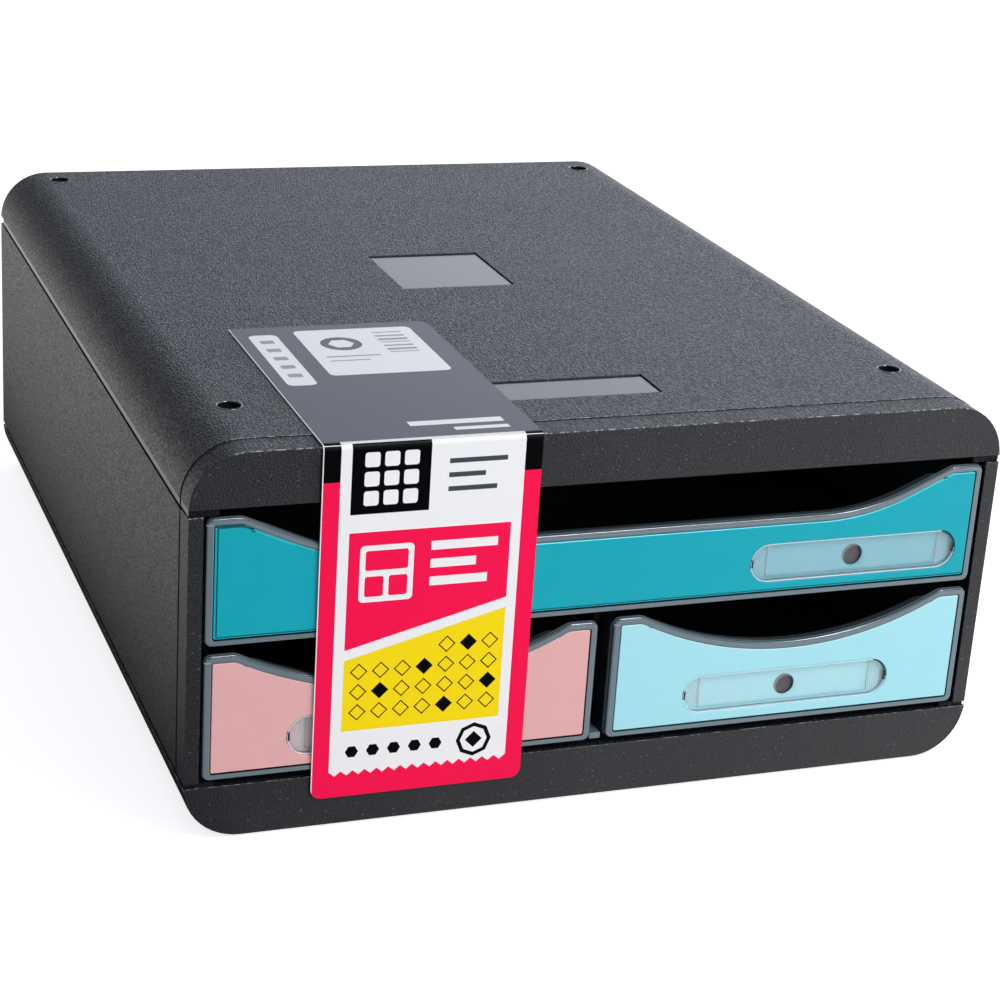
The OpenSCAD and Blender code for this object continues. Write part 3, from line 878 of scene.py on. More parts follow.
    def build_well_lips(self) -> None:
        """Thin polished lips round the stacking wells, one shape repeated at the wells."""
        tree = GrowTree("well_lip_tree", {"Lip radius": (self.well_r - 0.15) * MM,
                                          "Bead radius": self.lip_r * MM})
        ring = tree.node("GeometryNodeCurvePrimitiveCircle", {"Resolution": 64,
                                                              "Radius": tree.size("Lip radius")}, mode="RADIUS")
        bead = tree.node("GeometryNodeCurvePrimitiveCircle", {"Resolution": 10,
                                                              "Radius": tree.size("Bead radius")}, mode="RADIUS")
        lip = tree.node("GeometryNodeCurveToMesh", {"Curve": ring.outputs[0], "Profile Curve": bead.outputs[0]})
        lips = tree.node("GeometryNodeInstanceOnPoints", {"Points": tree.size("Base"),
                                                          "Instance": lip.outputs[0]})
        tree.close(lips.outputs[0], LIP)
        spots = bpy.data.meshes.new("well_spots")
        spots.from_pydata([(x * MM, y * MM, (self.height - 0.2) * MM) for x, y in self.wells], [], [])
        tree.grow(Piece("well_lips", "cabinet", (LIP,), "charcoal_shell", crease=80.0), spots)

    def build_base(self) -> None:
        """Base with its lip and the bars that the narrow drawers run on."""
        coats = (CHARCOAL, PAINTED_ARRIS_HIGHLIGHT)
        bm = cad_copy("base_shell")
        round_edges(bm, self.ends, self.edge, 3)
        # painted highlight along the lip's edge at deck level, front and rear
        round_edges(bm, lambda p: abs(abs(p.y) - self.rear) < ON and abs(p.z - self.deck_z) < ON, self.fine_edge, 2,
                    coats.index(PAINTED_ARRIS_HIGHLIGHT))
        round_edges(bm, self.mouth, self.edge, 2)
        round_edges(bm, lambda p: p.z > self.deck_z - ON and self.seam(p, self.deck_z), self.fine_edge, 2)
        round_edges(bm, lambda p: p.z > self.deck_z + 1, self.fine_edge, 2)
        Piece("base_tray_shell", "cabinet", coats, "charcoal_shell", ("base_shell",)).shell(bm)

    def build_sides(self) -> None:
        """Side panels, whose smooth flanges show as a strip under the cover."""
        coats = (CHARCOAL, POLISHED, PAINTED_ARRIS_HIGHLIGHT, GROOVE, INSIDE)
        _, polished, arris_highlight, groove, inside = range(len(coats))
        shoulder, foot = self.flange_z - 1, 20.2
        for side, s in (("left", -1), ("right", 1)):
            bm = cad_copy(f"{side}_side_panel")
            self.lower_band(bm, groove)
            # the outer step under the flange is lowered, so that the seam shows as a dark line
            for v in bm.verts:
                p = v.co / MM
                if abs(p.z - self.flange_z) < ON and abs(p.x) > 138.25 and p.y > -173:
                    v.co.z -= 0.9 * MM
            # painted shade: the seam under the flange as a dark line, the inner faces and the ledge before the
            # drawers
            for face in bm.faces:
                c = face.calc_center_median() / MM
                if shoulder < c.z < self.cover_z and abs(c.x) > 138.2:
                    face.material_index = groove
                elif abs(c.x) < 133.9 or c.z > self.flange_z + NEAR and c.y < -170:
                    face.material_index = inside
            # painted highlight on the front and rear edges just under the flange
            round_edges(bm, lambda p: abs(p.y) > self.rear - ON and shoulder < p.z < self.flange_z + 0.1,
                        self.panel_edge, 2, arris_highlight)
            round_edges(bm, lambda p: abs(p.y) > self.rear - ON and foot < p.z < shoulder, self.panel_edge, 2)
            round_edges(bm, self.groove, self.trim_edge, 1)
            # the smooth strip, in one length behind the bead groove and one before it
            for out, y0, y1 in ((138.93, -162.5, 168.1), (138.68, -172.8, -162.8)):
                a, b = sorted((s * 138.0, s * out))
                strip = block((a, y0, 109.8), (b, y1, 111.93), 0.12)
                for face in strip.faces:
                    face.material_index = polished
                merge(bm, strip)
            Piece(f"{side}_side_wall", "cabinet", coats, "charcoal_shell", (f"{side}_side_panel",)).shell(bm)

    def build_inside(self) -> None:
        """Back panel and centre divider."""
        bm = cad_copy("back_panel")
        round_edges(bm, lambda p: True, self.fine_edge, 2)
        Piece("back_wall", "cabinet", (CHARCOAL,), "charcoal_shell", ("back_panel",)).shell(bm)
        bm = cad_copy("center_divider")
        round_edges(bm, lambda p: True, self.fine_edge, 2)
        # the divider wall gets the painted shade of the inside
        Piece("divider_wall", "cabinet", (INSIDE,), "charcoal_shell", ("center_divider",)).shell(bm)
        guide = block((-2.6, -172.6, 20.8), (1.4, -150.0, 23.0), 0.35)
        Piece("divider_guide", "cabinet", (MOULDING,), "drawer_moulding").shell(guide)

    def build_feet(self) -> None:
        """Four bonded rubber feet, one shape repeated at its spots."""
        tree = GrowTree("rubber_feet_tree", {"Foot radius": 7.0 * MM, "Tread radius": 6.5 * MM,
                                             "Height": self.foot_h * MM, "Chamfer": self.foot_chamfer * MM})
        stem = tree.node("GeometryNodeMeshCylinder", {"Vertices": 64, "Radius": tree.size("Foot radius"),
                                                      "Depth": tree.size("Height")})
        tread = tree.node("GeometryNodeMeshCone", {"Vertices": 64, "Radius Top": tree.size("Foot radius"),
                                                   "Radius Bottom": tree.size("Tread radius"),
                                                   "Depth": tree.size("Chamfer")})
        half = tree.node("ShaderNodeMath", {0: tree.size("Height"), 1: 0.5}, operation="MULTIPLY")
        lift = tree.node("ShaderNodeMath", {0: half.outputs[0], 1: tree.size("Chamfer")}, operation="ADD")
        up = tree.node("ShaderNodeCombineXYZ", {"Z": lift.outputs[0]})
        raised = tree.node("GeometryNodeTransform", {"Geometry": stem.outputs["Mesh"],
                                                     "Translation": up.outputs[0]})
        joined = tree.node("GeometryNodeJoinGeometry")
        for part in (raised.outputs[0], tread.outputs["Mesh"]):
            tree.tree.links.new(part, joined.inputs[0])
        set_out = tree.node("GeometryNodeInstanceOnPoints", {"Points": tree.size("Base"),
                                                             "Instance": joined.outputs[0]})
        tree.close(set_out.outputs[0], RUBBER)
        spots = bpy.data.meshes.new("foot_spots")
        spots.from_pydata([(x * MM, y * MM, 0.0) for x, y in self.foot_spots], [], [])
        tree.grow(Piece("rubber_feet", "cabinet", (RUBBER,), "rubber_foot",
                        ("front_left_foot", "front_right_foot", "rear_left_foot", "rear_right_foot")), spots)

    def build(self) -> None:
        """Builds every part of the shell."""
        self.build_cover()
        self.build_well_lips()
        self.build_base()
        self.build_sides()
        self.build_inside()
        self.build_feet()


# ---------------------------------------------------------------- drawers


@dataclass(frozen=True)
class Scoop:
    """Finger scoop: its depth, the slope at its ends in degrees and the radius at the foot of that slope."""

    depth: float
    slope: float
    radius: float


@dataclass
class Drawer:
    """One drawer: moulded tray with a framed front, coloured plate, label window and label card."""

    name: str
    tint: Tint
    centre: float
    half: float
    foot: float
    head: float
    level: float
    scoop: Scoop
    window_x: float
    front_y: float = -173.5
    rear_y: float = 167.9
    corner: float = 2.3
    front_t: float = 3.3
    pocket: float = 2.1
    border_side: float = 2.3
    border_low: float = 2.1
    rim_h: float = 2.25
    rim_d: float = 2.0
    window_w: float = 76.3
    window_h: float = 13.5
    window_rise: float = 12.4
    hole_r: float = 3.75
    inset: float = 2.4
    wall: float = 1.8
    drop: float = 3.5
    kink_r: float = 5.0
    front_edge: float = 0.65
    plate_corner: float = 0.8
    plate_back: float = 0.02
    roll_r: float = 1.7
    rim_edge: float = 0.3
    rim_proud: float = 0.12
    rim_set: float = 0.06
    rib_pitch: float = 0.85
    rib_w: float = 0.22
    rib_d: float = 0.35
    lean: float = 0.0
    nick: float = 0.25
    inlay_x: float = -114.0

    @property
    def body(self) -> str:
        """Name of the CAD body."""
        return f"{self.name}_drawer"

    @property
    def window_z(self) -> float:
        """Level of the window's middle."""
        return self.foot + self.window_rise

    @property
    def window_span(self) -> float:
        """Distance from the window's middle to the centre of either round end."""
        return (self.window_w - self.window_h) / 2

    def outline(self, half: float, low: float, top: float, corner: float, level: float,
                nick: float = 0.0) -> list[Flat]:
        """Closed outline of the front around its own centre line, by the scoop's rule.

        Args:
            half: half its width.
            low: its foot.
            top: its head.
            corner: radius of its four corners.
            level: level stretch at each end of its head.
            nick: depth of the clip mark beside each kink.

        Returns:
            Points from the lower right corner round to the lower left one.
        """
        s, slope = self.scoop, math.radians(self.scoop.slope)
        kink, soft = half - level, self.kink_r * math.tan(slope / 2)
        reach = (s.depth - s.radius * (1 - math.cos(slope))) / math.tan(slope)
        foot = kink - reach - s.radius * math.sin(slope)
        right = arc(half - corner, low + corner, corner, -90, 0, 6)
        right += arc(half - corner, top - corner, corner, 0, 90, 6)
        right += arc(kink + soft, top - self.kink_r, self.kink_r, 90, 90 + s.slope, 5)
        bowl = arc(foot, top - s.depth + s.radius, s.radius, 270 + s.slope, 270, 18)
        right += [q for q in bowl if q[0] < kink - soft - 0.3]
        if nick:
            right = self.nicked(right, kink - soft - 1.6, nick)
        if right[-1][0] < 0.01:
            return right[:-1] + [(0.0, right[-1][1])] + [(-x, z) for x, z in reversed(right[:-1])]
        return right + [(-x, z) for x, z in reversed(right)]

    @staticmethod
    def nicked(edge: list[Flat], x: float, depth: float) -> list[Flat]:
        """Sinks a small clip mark into the head of an outline.

        Args:
            edge: right half of the outline, its head running inwards.
            x: middle of the mark.
            depth: its depth.

        Returns:
            The outline with the mark.
        """
        corners = 14
        head = edge[corners:]

        def rise(at: float) -> float:
            """Height of the head at a place."""
            (x0, z0), (x1, z1) = next(pair for pair in zip(head, head[1:]) if pair[0][0] >= at > pair[1][0])
            return z0 + (z1 - z0) * (x0 - at) / (x0 - x1)

        mark = [(x + aside, rise(x + aside) - sink)
                for aside, sink in ((0.7, 0.0), (0.35, depth), (-0.35, depth), (-0.7, 0.0))]
        before, after = [q for q in head if q[0] > x + 0.8], [q for q in head if q[0] < x - 0.8]
        return edge[:corners] + before + mark + after

    def front(self, inset: float, lower: float = 0.0) -> list[Flat]:
        """Outer outline of the front, moved in by inset, its head lowered."""
        return self.outline(self.half - inset, self.foot + inset, self.head - inset - lower,
                            max(self.corner - inset, 0.2), self.level - inset)

    def plate(self, inset: float, nick: float = 0.0) -> list[Flat]:
        """Outline of the coloured plate, moved in by inset.

        Args:
            inset: how far it is moved in.
            nick: depth of the clip mark beside each kink.

        Returns:
            Corners, seen from the front.
        """
        side = self.border_side + inset
        return self.outline(self.half - side, self.foot + self.border_low + inset,
                            self.head - self.rim_h - inset, max(self.plate_corner - inset, 0.15),
                            self.level - side, nick)

    def ring(self, flat: Iterable[Flat], back: float) -> list[Vector]:
        """Lays a flat outline into the front, a distance behind its plane."""
        return [Vector((self.centre + x, self.front_y + back, z)) for x, z in flat]

    def slot_ring(self, grow: float, back: float) -> list[Vector]:
        """Stadium outline of the label window, grown, a distance behind the front plane.

        Args:
            grow: how far it is grown.
            back: distance behind the front plane.

        Returns:
            Corners in space.
        """
        r = self.window_h / 2 + grow
        steps = 20
        right, left = self.window_x + self.window_span, self.window_x - self.window_span
        flat = arc(right, self.window_z, r, -90, 90, steps) + arc(left, self.window_z, r, 90, 270, steps)
        return [Vector((x, self.front_y + back, z)) for x, z in flat]

    def hole_ring(self, r: float, back: float) -> list[Vector]:
        """Circle round the push-out hole."""
        return [Vector((x, self.front_y + back, z)) for x, z in arc(self.window_x, self.window_z, r, 0, 360, 48)[:-1]]

    def build_frame(self) -> None:
        """Front with its pocket, and the box behind it, as one moulding."""
        shade = SatinPlastic(f"abs_satin_pocket_{self.tint.name.lower()}", colour=self.tint.value.gap, rough=0.6,
                             level=0.1)
        coats = (MOULDING, shade, PAINTED_HOLE_SHADE, GLINT, PAINTED_TRAY_SHADE)
        _, gap, hole, glint, tray = range(len(coats))
        r, turns = self.front_edge, 5
        rings = [self.ring(self.plate(-0.15), self.pocket), self.ring(self.plate(-0.15), 0.1),
                 self.ring(self.plate(-0.25), 0.0)]
        for i in range(turns + 1):
            a = math.radians(90 * i / turns)
            rings.append(self.ring(self.front(r * (1 - math.sin(a))), r * (1 - math.cos(a))))
        rings += [self.ring(self.front(0.0, lower), back) for lower, back in (
            (0.0, self.rim_d - 0.4), (1.3, self.rim_d - 0.1), (1.3, self.front_t))]
        front = bm_cut(loft(rings), loft([self.hole_ring(self.hole_r, 1.0), self.hole_ring(self.hole_r, 2.95)]))
        for face in front.faces:
            c = face.calc_center_median() / MM
            deep = c.y - self.front_y
            chamfer = 0.01 < deep < 0.09
            # painted shade: pocket walls, upward chamfer and finger hole; painted highlight: chamfer facing right
            if 1.0 < deep < 1.3 and abs(face.normal.y) < 0.1:
                face.material_index = gap
            elif chamfer and face.normal.x > 0.5:
                face.material_index = glint
            elif chamfer and face.normal.z > 0.3:
                face.material_index = gap
            elif deep > 0.9 and math.hypot(c.x - self.window_x, c.z - self.window_z) < self.hole_r + ON:
                face.material_index = hole
        # hand hold cut through the front wall of the box
        bowl = [q for q in self.front(0.4) if abs(q[0]) < self.half - self.level]
        low = [q for q in bowl if q[1] > self.foot + 5]
        mouth = low + [(low[-1][0], self.head + 9), (low[0][0], self.head + 9)]
        behind = self.front_t + self.wall + 0.6
        box = bm_cut(self.box(), loft([self.ring(mouth, 1.0), self.ring(mouth, behind)]))
        # parting mark across the left border, where the rim begins
        left, level = self.centre - self.half, self.head - self.rim_h + 0.1
        mark = block((left - 0.12, self.front_y - 0.09, level),
                     (left + self.border_side - 0.3, self.front_y + 1.0, level + 0.2), 0.04, 1)
        runners = self.runners()
        # painted highlight on the parting mark, painted shade on the box and its runners
        for shape, dye in ((mark, glint), (box, tray), *((runner, tray) for runner in runners)):
            for face in shape.faces:
                face.material_index = dye
        Piece(f"{self.name}_tray_moulding", self.body, coats, "drawer_moulding",
              (f"{self.name}_tray",)).shell(merge(front, box, *runners, mark))

    def box(self) -> bmesh.types.BMesh:
        """Open box of the tray with filleted floor and rounded rim.

        Returns:
            Mesh in metres.
        """
        outer = self.half - self.inset
        y0, y1 = self.front_y + self.front_t - 0.05, self.rear_y
        top = self.head - self.drop

        def round_box(grow: float, z: float, r: float) -> list[Vector]:
            """Ring of the box outline at a level.

            Args:
                grow: how far the outline is grown.
                z: the level.
                r: radius of the corners.

            Returns:
                Corners in space.
            """
            h, a, b = outer + grow, y0 - min(grow, 0), y1 + grow
            flat = (arc(h - r, a + r, r, -90, 0, 5) + arc(h - r, b - r, r, 0, 90, 5)
                    + arc(-h + r, b - r, r, 90, 180, 5) + arc(-h + r, a + r, r, 180, 270, 5))
            return [Vector((self.centre + x, y, z)) for x, y in flat]

        w, fillet, turns = self.wall, 1.4, 4
        rings = [round_box(-w - fillet, self.foot + w, 1.2)]
        for i in range(1, turns + 1):
            a = math.radians(90 * i / turns)
            rings.append(round_box(-w - fillet + fillet * math.sin(a),
                                   self.foot + w + fillet - fillet * math.cos(a), 1.2 + fillet * 0.5))
        rings += [round_box(grow, z, r) for grow, z, r in (
            (-w, top - 0.5, 1.9), (-w + 0.15, top - 0.15, 1.95), (-w + 0.5, top, 2.1), (-0.5, top, 2.6),
            (-0.15, top - 0.15, 2.8), (0.0, top - 0.5, 2.9), (0.0, self.foot + 0.4, 2.9), (-0.4, self.foot, 2.6))]
        return loft(rings)

    def runners(self) -> list[bmesh.types.BMesh]:
        """Runner flanges along the foot of both sides, and the stop ears.

        Returns:
            One mesh per flange and ear.
        """
        outer = self.half - self.inset
        ear = self.head - self.drop - 7.0
        shapes = ((2.2, self.front_y + self.front_t - 0.1, self.foot, self.foot + 2.0),
                  (2.4, self.rear_y - 5, ear, ear + 6))
        made = []
        for s in (-1, 1):
            for reach, y0, z0, z1 in shapes:
                a, b = sorted((self.centre + s * (outer - 0.3), self.centre + s * (outer + reach)))
                made.append(block((a, y0, z0), (b, self.rear_y, z1), 0.3))
        return made

    def build_rim(self) -> None:
        """Rim rolled back over the hand hold: one section swept along the head of the front."""
        end = self.head - self.corner - 0.1
        head = [q for q in self.front(0.0) if q[1] > self.foot + 5 and abs(q[0]) < self.half - ON]
        head = [(self.half, end), (self.half, end + 0.1), *head, (-self.half, end + 0.1), (-self.half, end)]
        points = [(self.centre + x, self.front_y, z) for x, z in head]
        tree = GrowTree(f"{self.name}_rim_tree", {"Rim height": (self.rim_h + self.rim_proud) * MM,
                                                  "Rim depth": (self.rim_d + self.rim_set) * MM,
                                                  "Roll radius": self.roll_r * MM,
                                                  "Edge radius": self.rim_edge * MM,
                                                  "Proud": self.rim_proud * MM, "Set back": self.rim_set * MM})
        line = tree.node("GeometryNodeMeshToCurve", {"Mesh": tree.size("Base")})
        upright = tree.node("GeometryNodeSetCurveNormal", {"Curve": line.outputs[0],
                                                           "Normal": (0.0, -1.0, 0.0)}, mode="FREE")
        section = tree.node("GeometryNodeCurvePrimitiveQuadrilateral", {"Width": tree.size("Rim depth"),
                                                                        "Height": tree.size("Rim height")},
                            mode="RECTANGLE")
        # only the corner that shows, outwards and forwards, is rolled; the others are hardly broken
        where = tree.node("ShaderNodeSeparateXYZ", {0: tree.node("GeometryNodeInputPosition").outputs[0]})
        outer = tree.node("FunctionNodeCompare", {"A": where.outputs["X"], "B": 0.0}, data_type="FLOAT",
                          operation="GREATER_THAN")
        fore = tree.node("FunctionNodeCompare", {"A": where.outputs["Y"], "B": 0.0}, data_type="FLOAT",
                         operation="GREATER_THAN")
        both = tree.node("FunctionNodeBooleanMath", {0: outer.outputs[0], 1: fore.outputs[0]},
                         operation="AND")
        radius = tree.node("GeometryNodeSwitch", {0: both.outputs[0], "False": tree.size("Edge radius"),
                                                  "True": tree.size("Roll radius")}, input_type="FLOAT")
        soft = tree.node("GeometryNodeFilletCurve", {"Curve": section.outputs[0], "Radius": radius.outputs[0],
                                                     "Count": 8, "Limit Radius": True}, mode="POLY")
        out = tree.node("ShaderNodeMath", {0: tree.size("Rim height"), 1: -0.5, 2: tree.size("Proud")},
                        operation="MULTIPLY_ADD")
        back = tree.node("ShaderNodeMath", {0: tree.size("Rim depth"), 1: -0.5, 2: tree.size("Set back")},
                         operation="MULTIPLY_ADD")
        shift = tree.node("ShaderNodeCombineXYZ", {"X": back.outputs[0], "Y": out.outputs[0]})
        placed = tree.node("GeometryNodeTransform", {"Geometry": soft.outputs[0],
                                                     "Translation": shift.outputs[0]})
        swept = tree.node("GeometryNodeCurveToMesh", {"Curve": upright.outputs[0],
                                                      "Profile Curve": placed.outputs[0], "Fill Caps": True})
        tree.close(swept.outputs[0], MOULDING)
        tree.grow(Piece(f"{self.name}_rolled_rim", self.body, (MOULDING,), "drawer_moulding", crease=30.0),
                  wire(f"{self.name}_rim_path", points))

    def build_plate(self) -> None:
        """Coloured plate with its edge, the shallow inlay step of the wide one and the window's cut-out."""
        _, edge, lit = range(3)
        # inset and depth of each ring, from the back of the plate to its face
        steps = [(0.2, self.pocket), (0.2, 0.42), (0.3, 0.2)]
        if self.lean:
            steps += [(0.62, 0.2), (0.64, 0.36), (0.98, 0.36), (1.0, 0.12), (1.1, self.plate_back)]
        else:
            steps += [(0.38, 0.08), (0.5, self.plate_back)]
        rings = []
        for inset, back in steps:
            on_face = inset > 0.4
            shift = self.lean if on_face else 0.0
            ring = self.ring([(x + shift, z) for x, z in self.plate(inset, self.nick)], back)
            # the inlay step shows at the left end and along the foot only
            for i, p in enumerate(ring if on_face else ()):
                if i > 3 and p.x > self.inlay_x - 1 and (i < 14 or p.z > self.foot + 8):
                    p.y = self.front_y + self.plate_back
            rings.append(ring)
        bm = bm_cut(loft(rings), loft([self.slot_ring(0.15, -2), self.slot_ring(0.15, 5)]))
        round_edges(bm, lambda p: abs(p.y - self.front_y - self.plate_back) < 0.01 and self.near_window(p), 0.3, 3)
        for face in bm.faces:
            c = face.calc_center_median() / MM
            deep, aside = c.y - self.front_y, not self.near_window(c, 0.8)
            inlay = bool(self.lean) and c.x < self.inlay_x
            # painted shade in the edge groove and on the inlay step, a painted highlight on upward edge faces off it
            if 0.25 < deep < 0.6 and aside:
                face.material_index = edge
            elif 0.03 < deep < 0.25 and face.normal.z > 0.25 and aside:
                face.material_index = edge if inlay else lit
            elif inlay and 0.15 < deep and self.head - self.rim_h - c.z < 0.7:
                face.material_index = edge
        name, colours = self.tint.name.lower(), self.tint.value
        coats = (SatinPlastic(f"polystyrene_satin_{name}", colour=colours.plate, rough=0.3, level=0.3,
                              relief_mm=0.014, drift=0.03),
                 SatinPlastic(f"polystyrene_satin_{name}_edge", colour=colours.edge, rough=0.3, level=0.3),
                 SatinPlastic(f"polystyrene_satin_{name}_lit_edge", colour=colours.glint, rough=0.3, level=0.3))
        Piece(f"{self.name}_plate", self.body, coats, f"{name}_plate", (f"{self.name}_front_panel",)).shell(bm)

    def near_window(self, p: Vector, slack: float = NEAR) -> bool:
        """True within slack of the edge of the window's cut-out."""
        x = max(abs(p.x - self.window_x) - self.window_span, 0.0)
        return abs(math.hypot(x, p.z - self.window_z) - self.window_h / 2 - 0.15) < slack

    def build_window(self) -> None:
        """Clear window with a painted highlight on its turned edge, its finger hole and the label card behind."""
        coats = (CLEAR, BRIGHT, DUSK)
        _, bright, dusk = range(len(coats))
        name, x, y, z = self.tint.name.lower(), self.window_x, self.front_y, self.window_z
        span = self.window_span + 0.4
        # growth and depth of each ring, from inside the turned edge round to the back
        steps = ((-0.36, 0.3), (-0.3, 0.12), (-0.12, 0.06), (0.0, 0.3), (0.0, 2.0), (-1.2, 2.0), (-1.2, 1.25))
        bm = loft([self.slot_ring(grow, back) for grow, back in steps])
        for face in bm.faces:
            c = face.calc_center_median() / MM
            # painted highlight on the turned edge, painted shade where its upper right end turns from the light
            if len(face.verts) == 4 and c.y < y + 0.29:
                face.material_index = dusk if c.x > x + span + 1 and c.z > z + 0.5 else bright
        bm = bm_cut(bm, loft([self.hole_ring(self.hole_r, -1), self.hole_ring(self.hole_r, 8)]))
        Piece(f"{self.name}_window", self.body, coats, "clear_window", (f"{self.name}_label_window",)).shell(bm)
        hole = self.hole_r + 0.05
        card = bm_cut(loft([self.slot_ring(-0.3, 1.96), self.slot_ring(-0.3, 2.06)]),
                      loft([self.hole_ring(hole, -1), self.hole_ring(hole, 8)]))
        paper = CoatedCard(f"card_label_{name}", colour=self.tint.value.label, rough=0.5)
        Piece(f"{self.name}_label_card", self.body, (paper,), "clear_window").shell(card)
        # painted shade: darker lines of the pocket that holds the card, one along its foot, one at either end
        posts = [block((x - span, y + 1.2, z - 5.35), (x + span, y + 1.9, z - 5.18), 0.06, 1)]
        posts += [block((x + end - 0.09, y + 1.5, z - 5.3), (x + end + 0.09, y + 1.9, z + 5.3), 0.06, 1)
                  for end in (-span, span)]
        shade = CoatedCard(f"card_pocket_shade_{name}", colour=self.tint.value.pocket, rough=0.4)
        Piece(f"{self.name}_label_pocket", self.body, (shade,), "clear_window").shell(merge(*posts))
        reach = self.window_w / 2 - 0.55
        clips = [block((x + end - 0.5, y + 0.09, z - 1.5), (x + end + 0.5, y + 1.4, z + 1.7), 0.25)
                 for end in (-reach, reach)]
        Piece(f"{self.name}_window_clips", self.body, (POLISHED,), "clear_window").shell(merge(*clips))

    def build_ribs(self) -> None:
        """Fine upright ribs moulded behind both ends of the window."""
        tree = GrowTree(f"{self.name}_rib_tree", {"Ribs": 6, "Pitch": self.rib_pitch * MM,
                                                  "Rib width": self.rib_w * MM, "Rib depth": self.rib_d * MM,
                                                  "Half height": (self.window_h / 2 - 1.0) * MM,
                                                  "Half span": self.window_span * MM})
        step = tree.node("ShaderNodeCombineXYZ", {"X": tree.size("Pitch")})
        row = tree.node("GeometryNodeMeshLine", {"Count": tree.size("Ribs"), "Offset": step.outputs[0]},
                        mode="OFFSET")
        bar = tree.node("GeometryNodeMeshCylinder", {"Vertices": 10, "Radius": 0.5, "Depth": 2.0})
        # each rib is as tall as the round end of the window is where it stands
        at = tree.node("ShaderNodeSeparateXYZ", {0: tree.node("GeometryNodeInputPosition").outputs[0]})
        share = tree.node("ShaderNodeMath", {0: at.outputs["X"], 1: tree.size("Half height")},
                          operation="DIVIDE")
        squared = tree.node("ShaderNodeMath", {0: share.outputs[0], 1: 2.0}, operation="POWER")
        rest = tree.node("ShaderNodeMath", {0: 1.0, 1: squared.outputs[0]}, operation="SUBTRACT")
        root = tree.node("ShaderNodeMath", {0: rest.outputs[0]}, operation="SQRT")
        tall = tree.node("ShaderNodeMath", {0: root.outputs[0], 1: tree.size("Half height")},
                         operation="MULTIPLY")
        scale = tree.node("ShaderNodeCombineXYZ", {"X": tree.size("Rib width"), "Y": tree.size("Rib depth"),
                                                   "Z": tall.outputs[0]})
        ribs = tree.node("GeometryNodeInstanceOnPoints", {"Points": row.outputs[0],
                                                          "Instance": bar.outputs["Mesh"],
                                                          "Scale": scale.outputs[0]})
        aside = tree.node("ShaderNodeCombineXYZ", {"X": tree.size("Half span")})
        end = tree.node("GeometryNodeTransform", {"Geometry": ribs.outputs[0],
                                                  "Translation": aside.outputs[0]})
        turned = tree.node("GeometryNodeTransform", {"Geometry": end.outputs[0],
                                                     "Rotation": (0.0, 0.0, math.pi)})
        pair = tree.node("GeometryNodeJoinGeometry")
        for part in (end.outputs[0], turned.outputs[0]):
            tree.tree.links.new(part, pair.inputs[0])
        centre = (self.window_x * MM, (self.front_y + 1.5) * MM, self.window_z * MM)
        placed = tree.node("GeometryNodeTransform", {"Geometry": pair.outputs[0], "Translation": centre})
        tree.close(placed.outputs[0], RIBBED)
        tree.grow(Piece(f"{self.name}_window_ribs", self.body, (RIBBED,), "clear_window"),
                  wire(f"{self.name}_rib_base", [(0, 0, 0)]))

    def build(self) -> None:
        """Builds the whole drawer."""
        self.build_frame()
        self.build_rim()
        self.build_plate()
        self.build_window()
        self.build_ribs()


# ---------------------------------------------------------------- tag


@dataclass(frozen=True)
class Print:
    """One printed shape: its ink and its outline across and along the card."""

    ink: Ink
    points: tuple[Flat, ...]

    def holds(self, u: float, q: float) -> bool:
        """True where a point lies inside the outline.

        Args:
            u: place across the card.
            q: place along the card.

        Returns:
            Whether it lies inside.
        """
        inside = False
        for (u0, q0), (u1, q1) in zip(self.points, self.points[1:] + self.points[:1]):
            if (q0 > q) != (q1 > q) and u < (u1 - u0) * (q - q0) / (q1 - q0) + u0:
                inside = not inside
        return inside


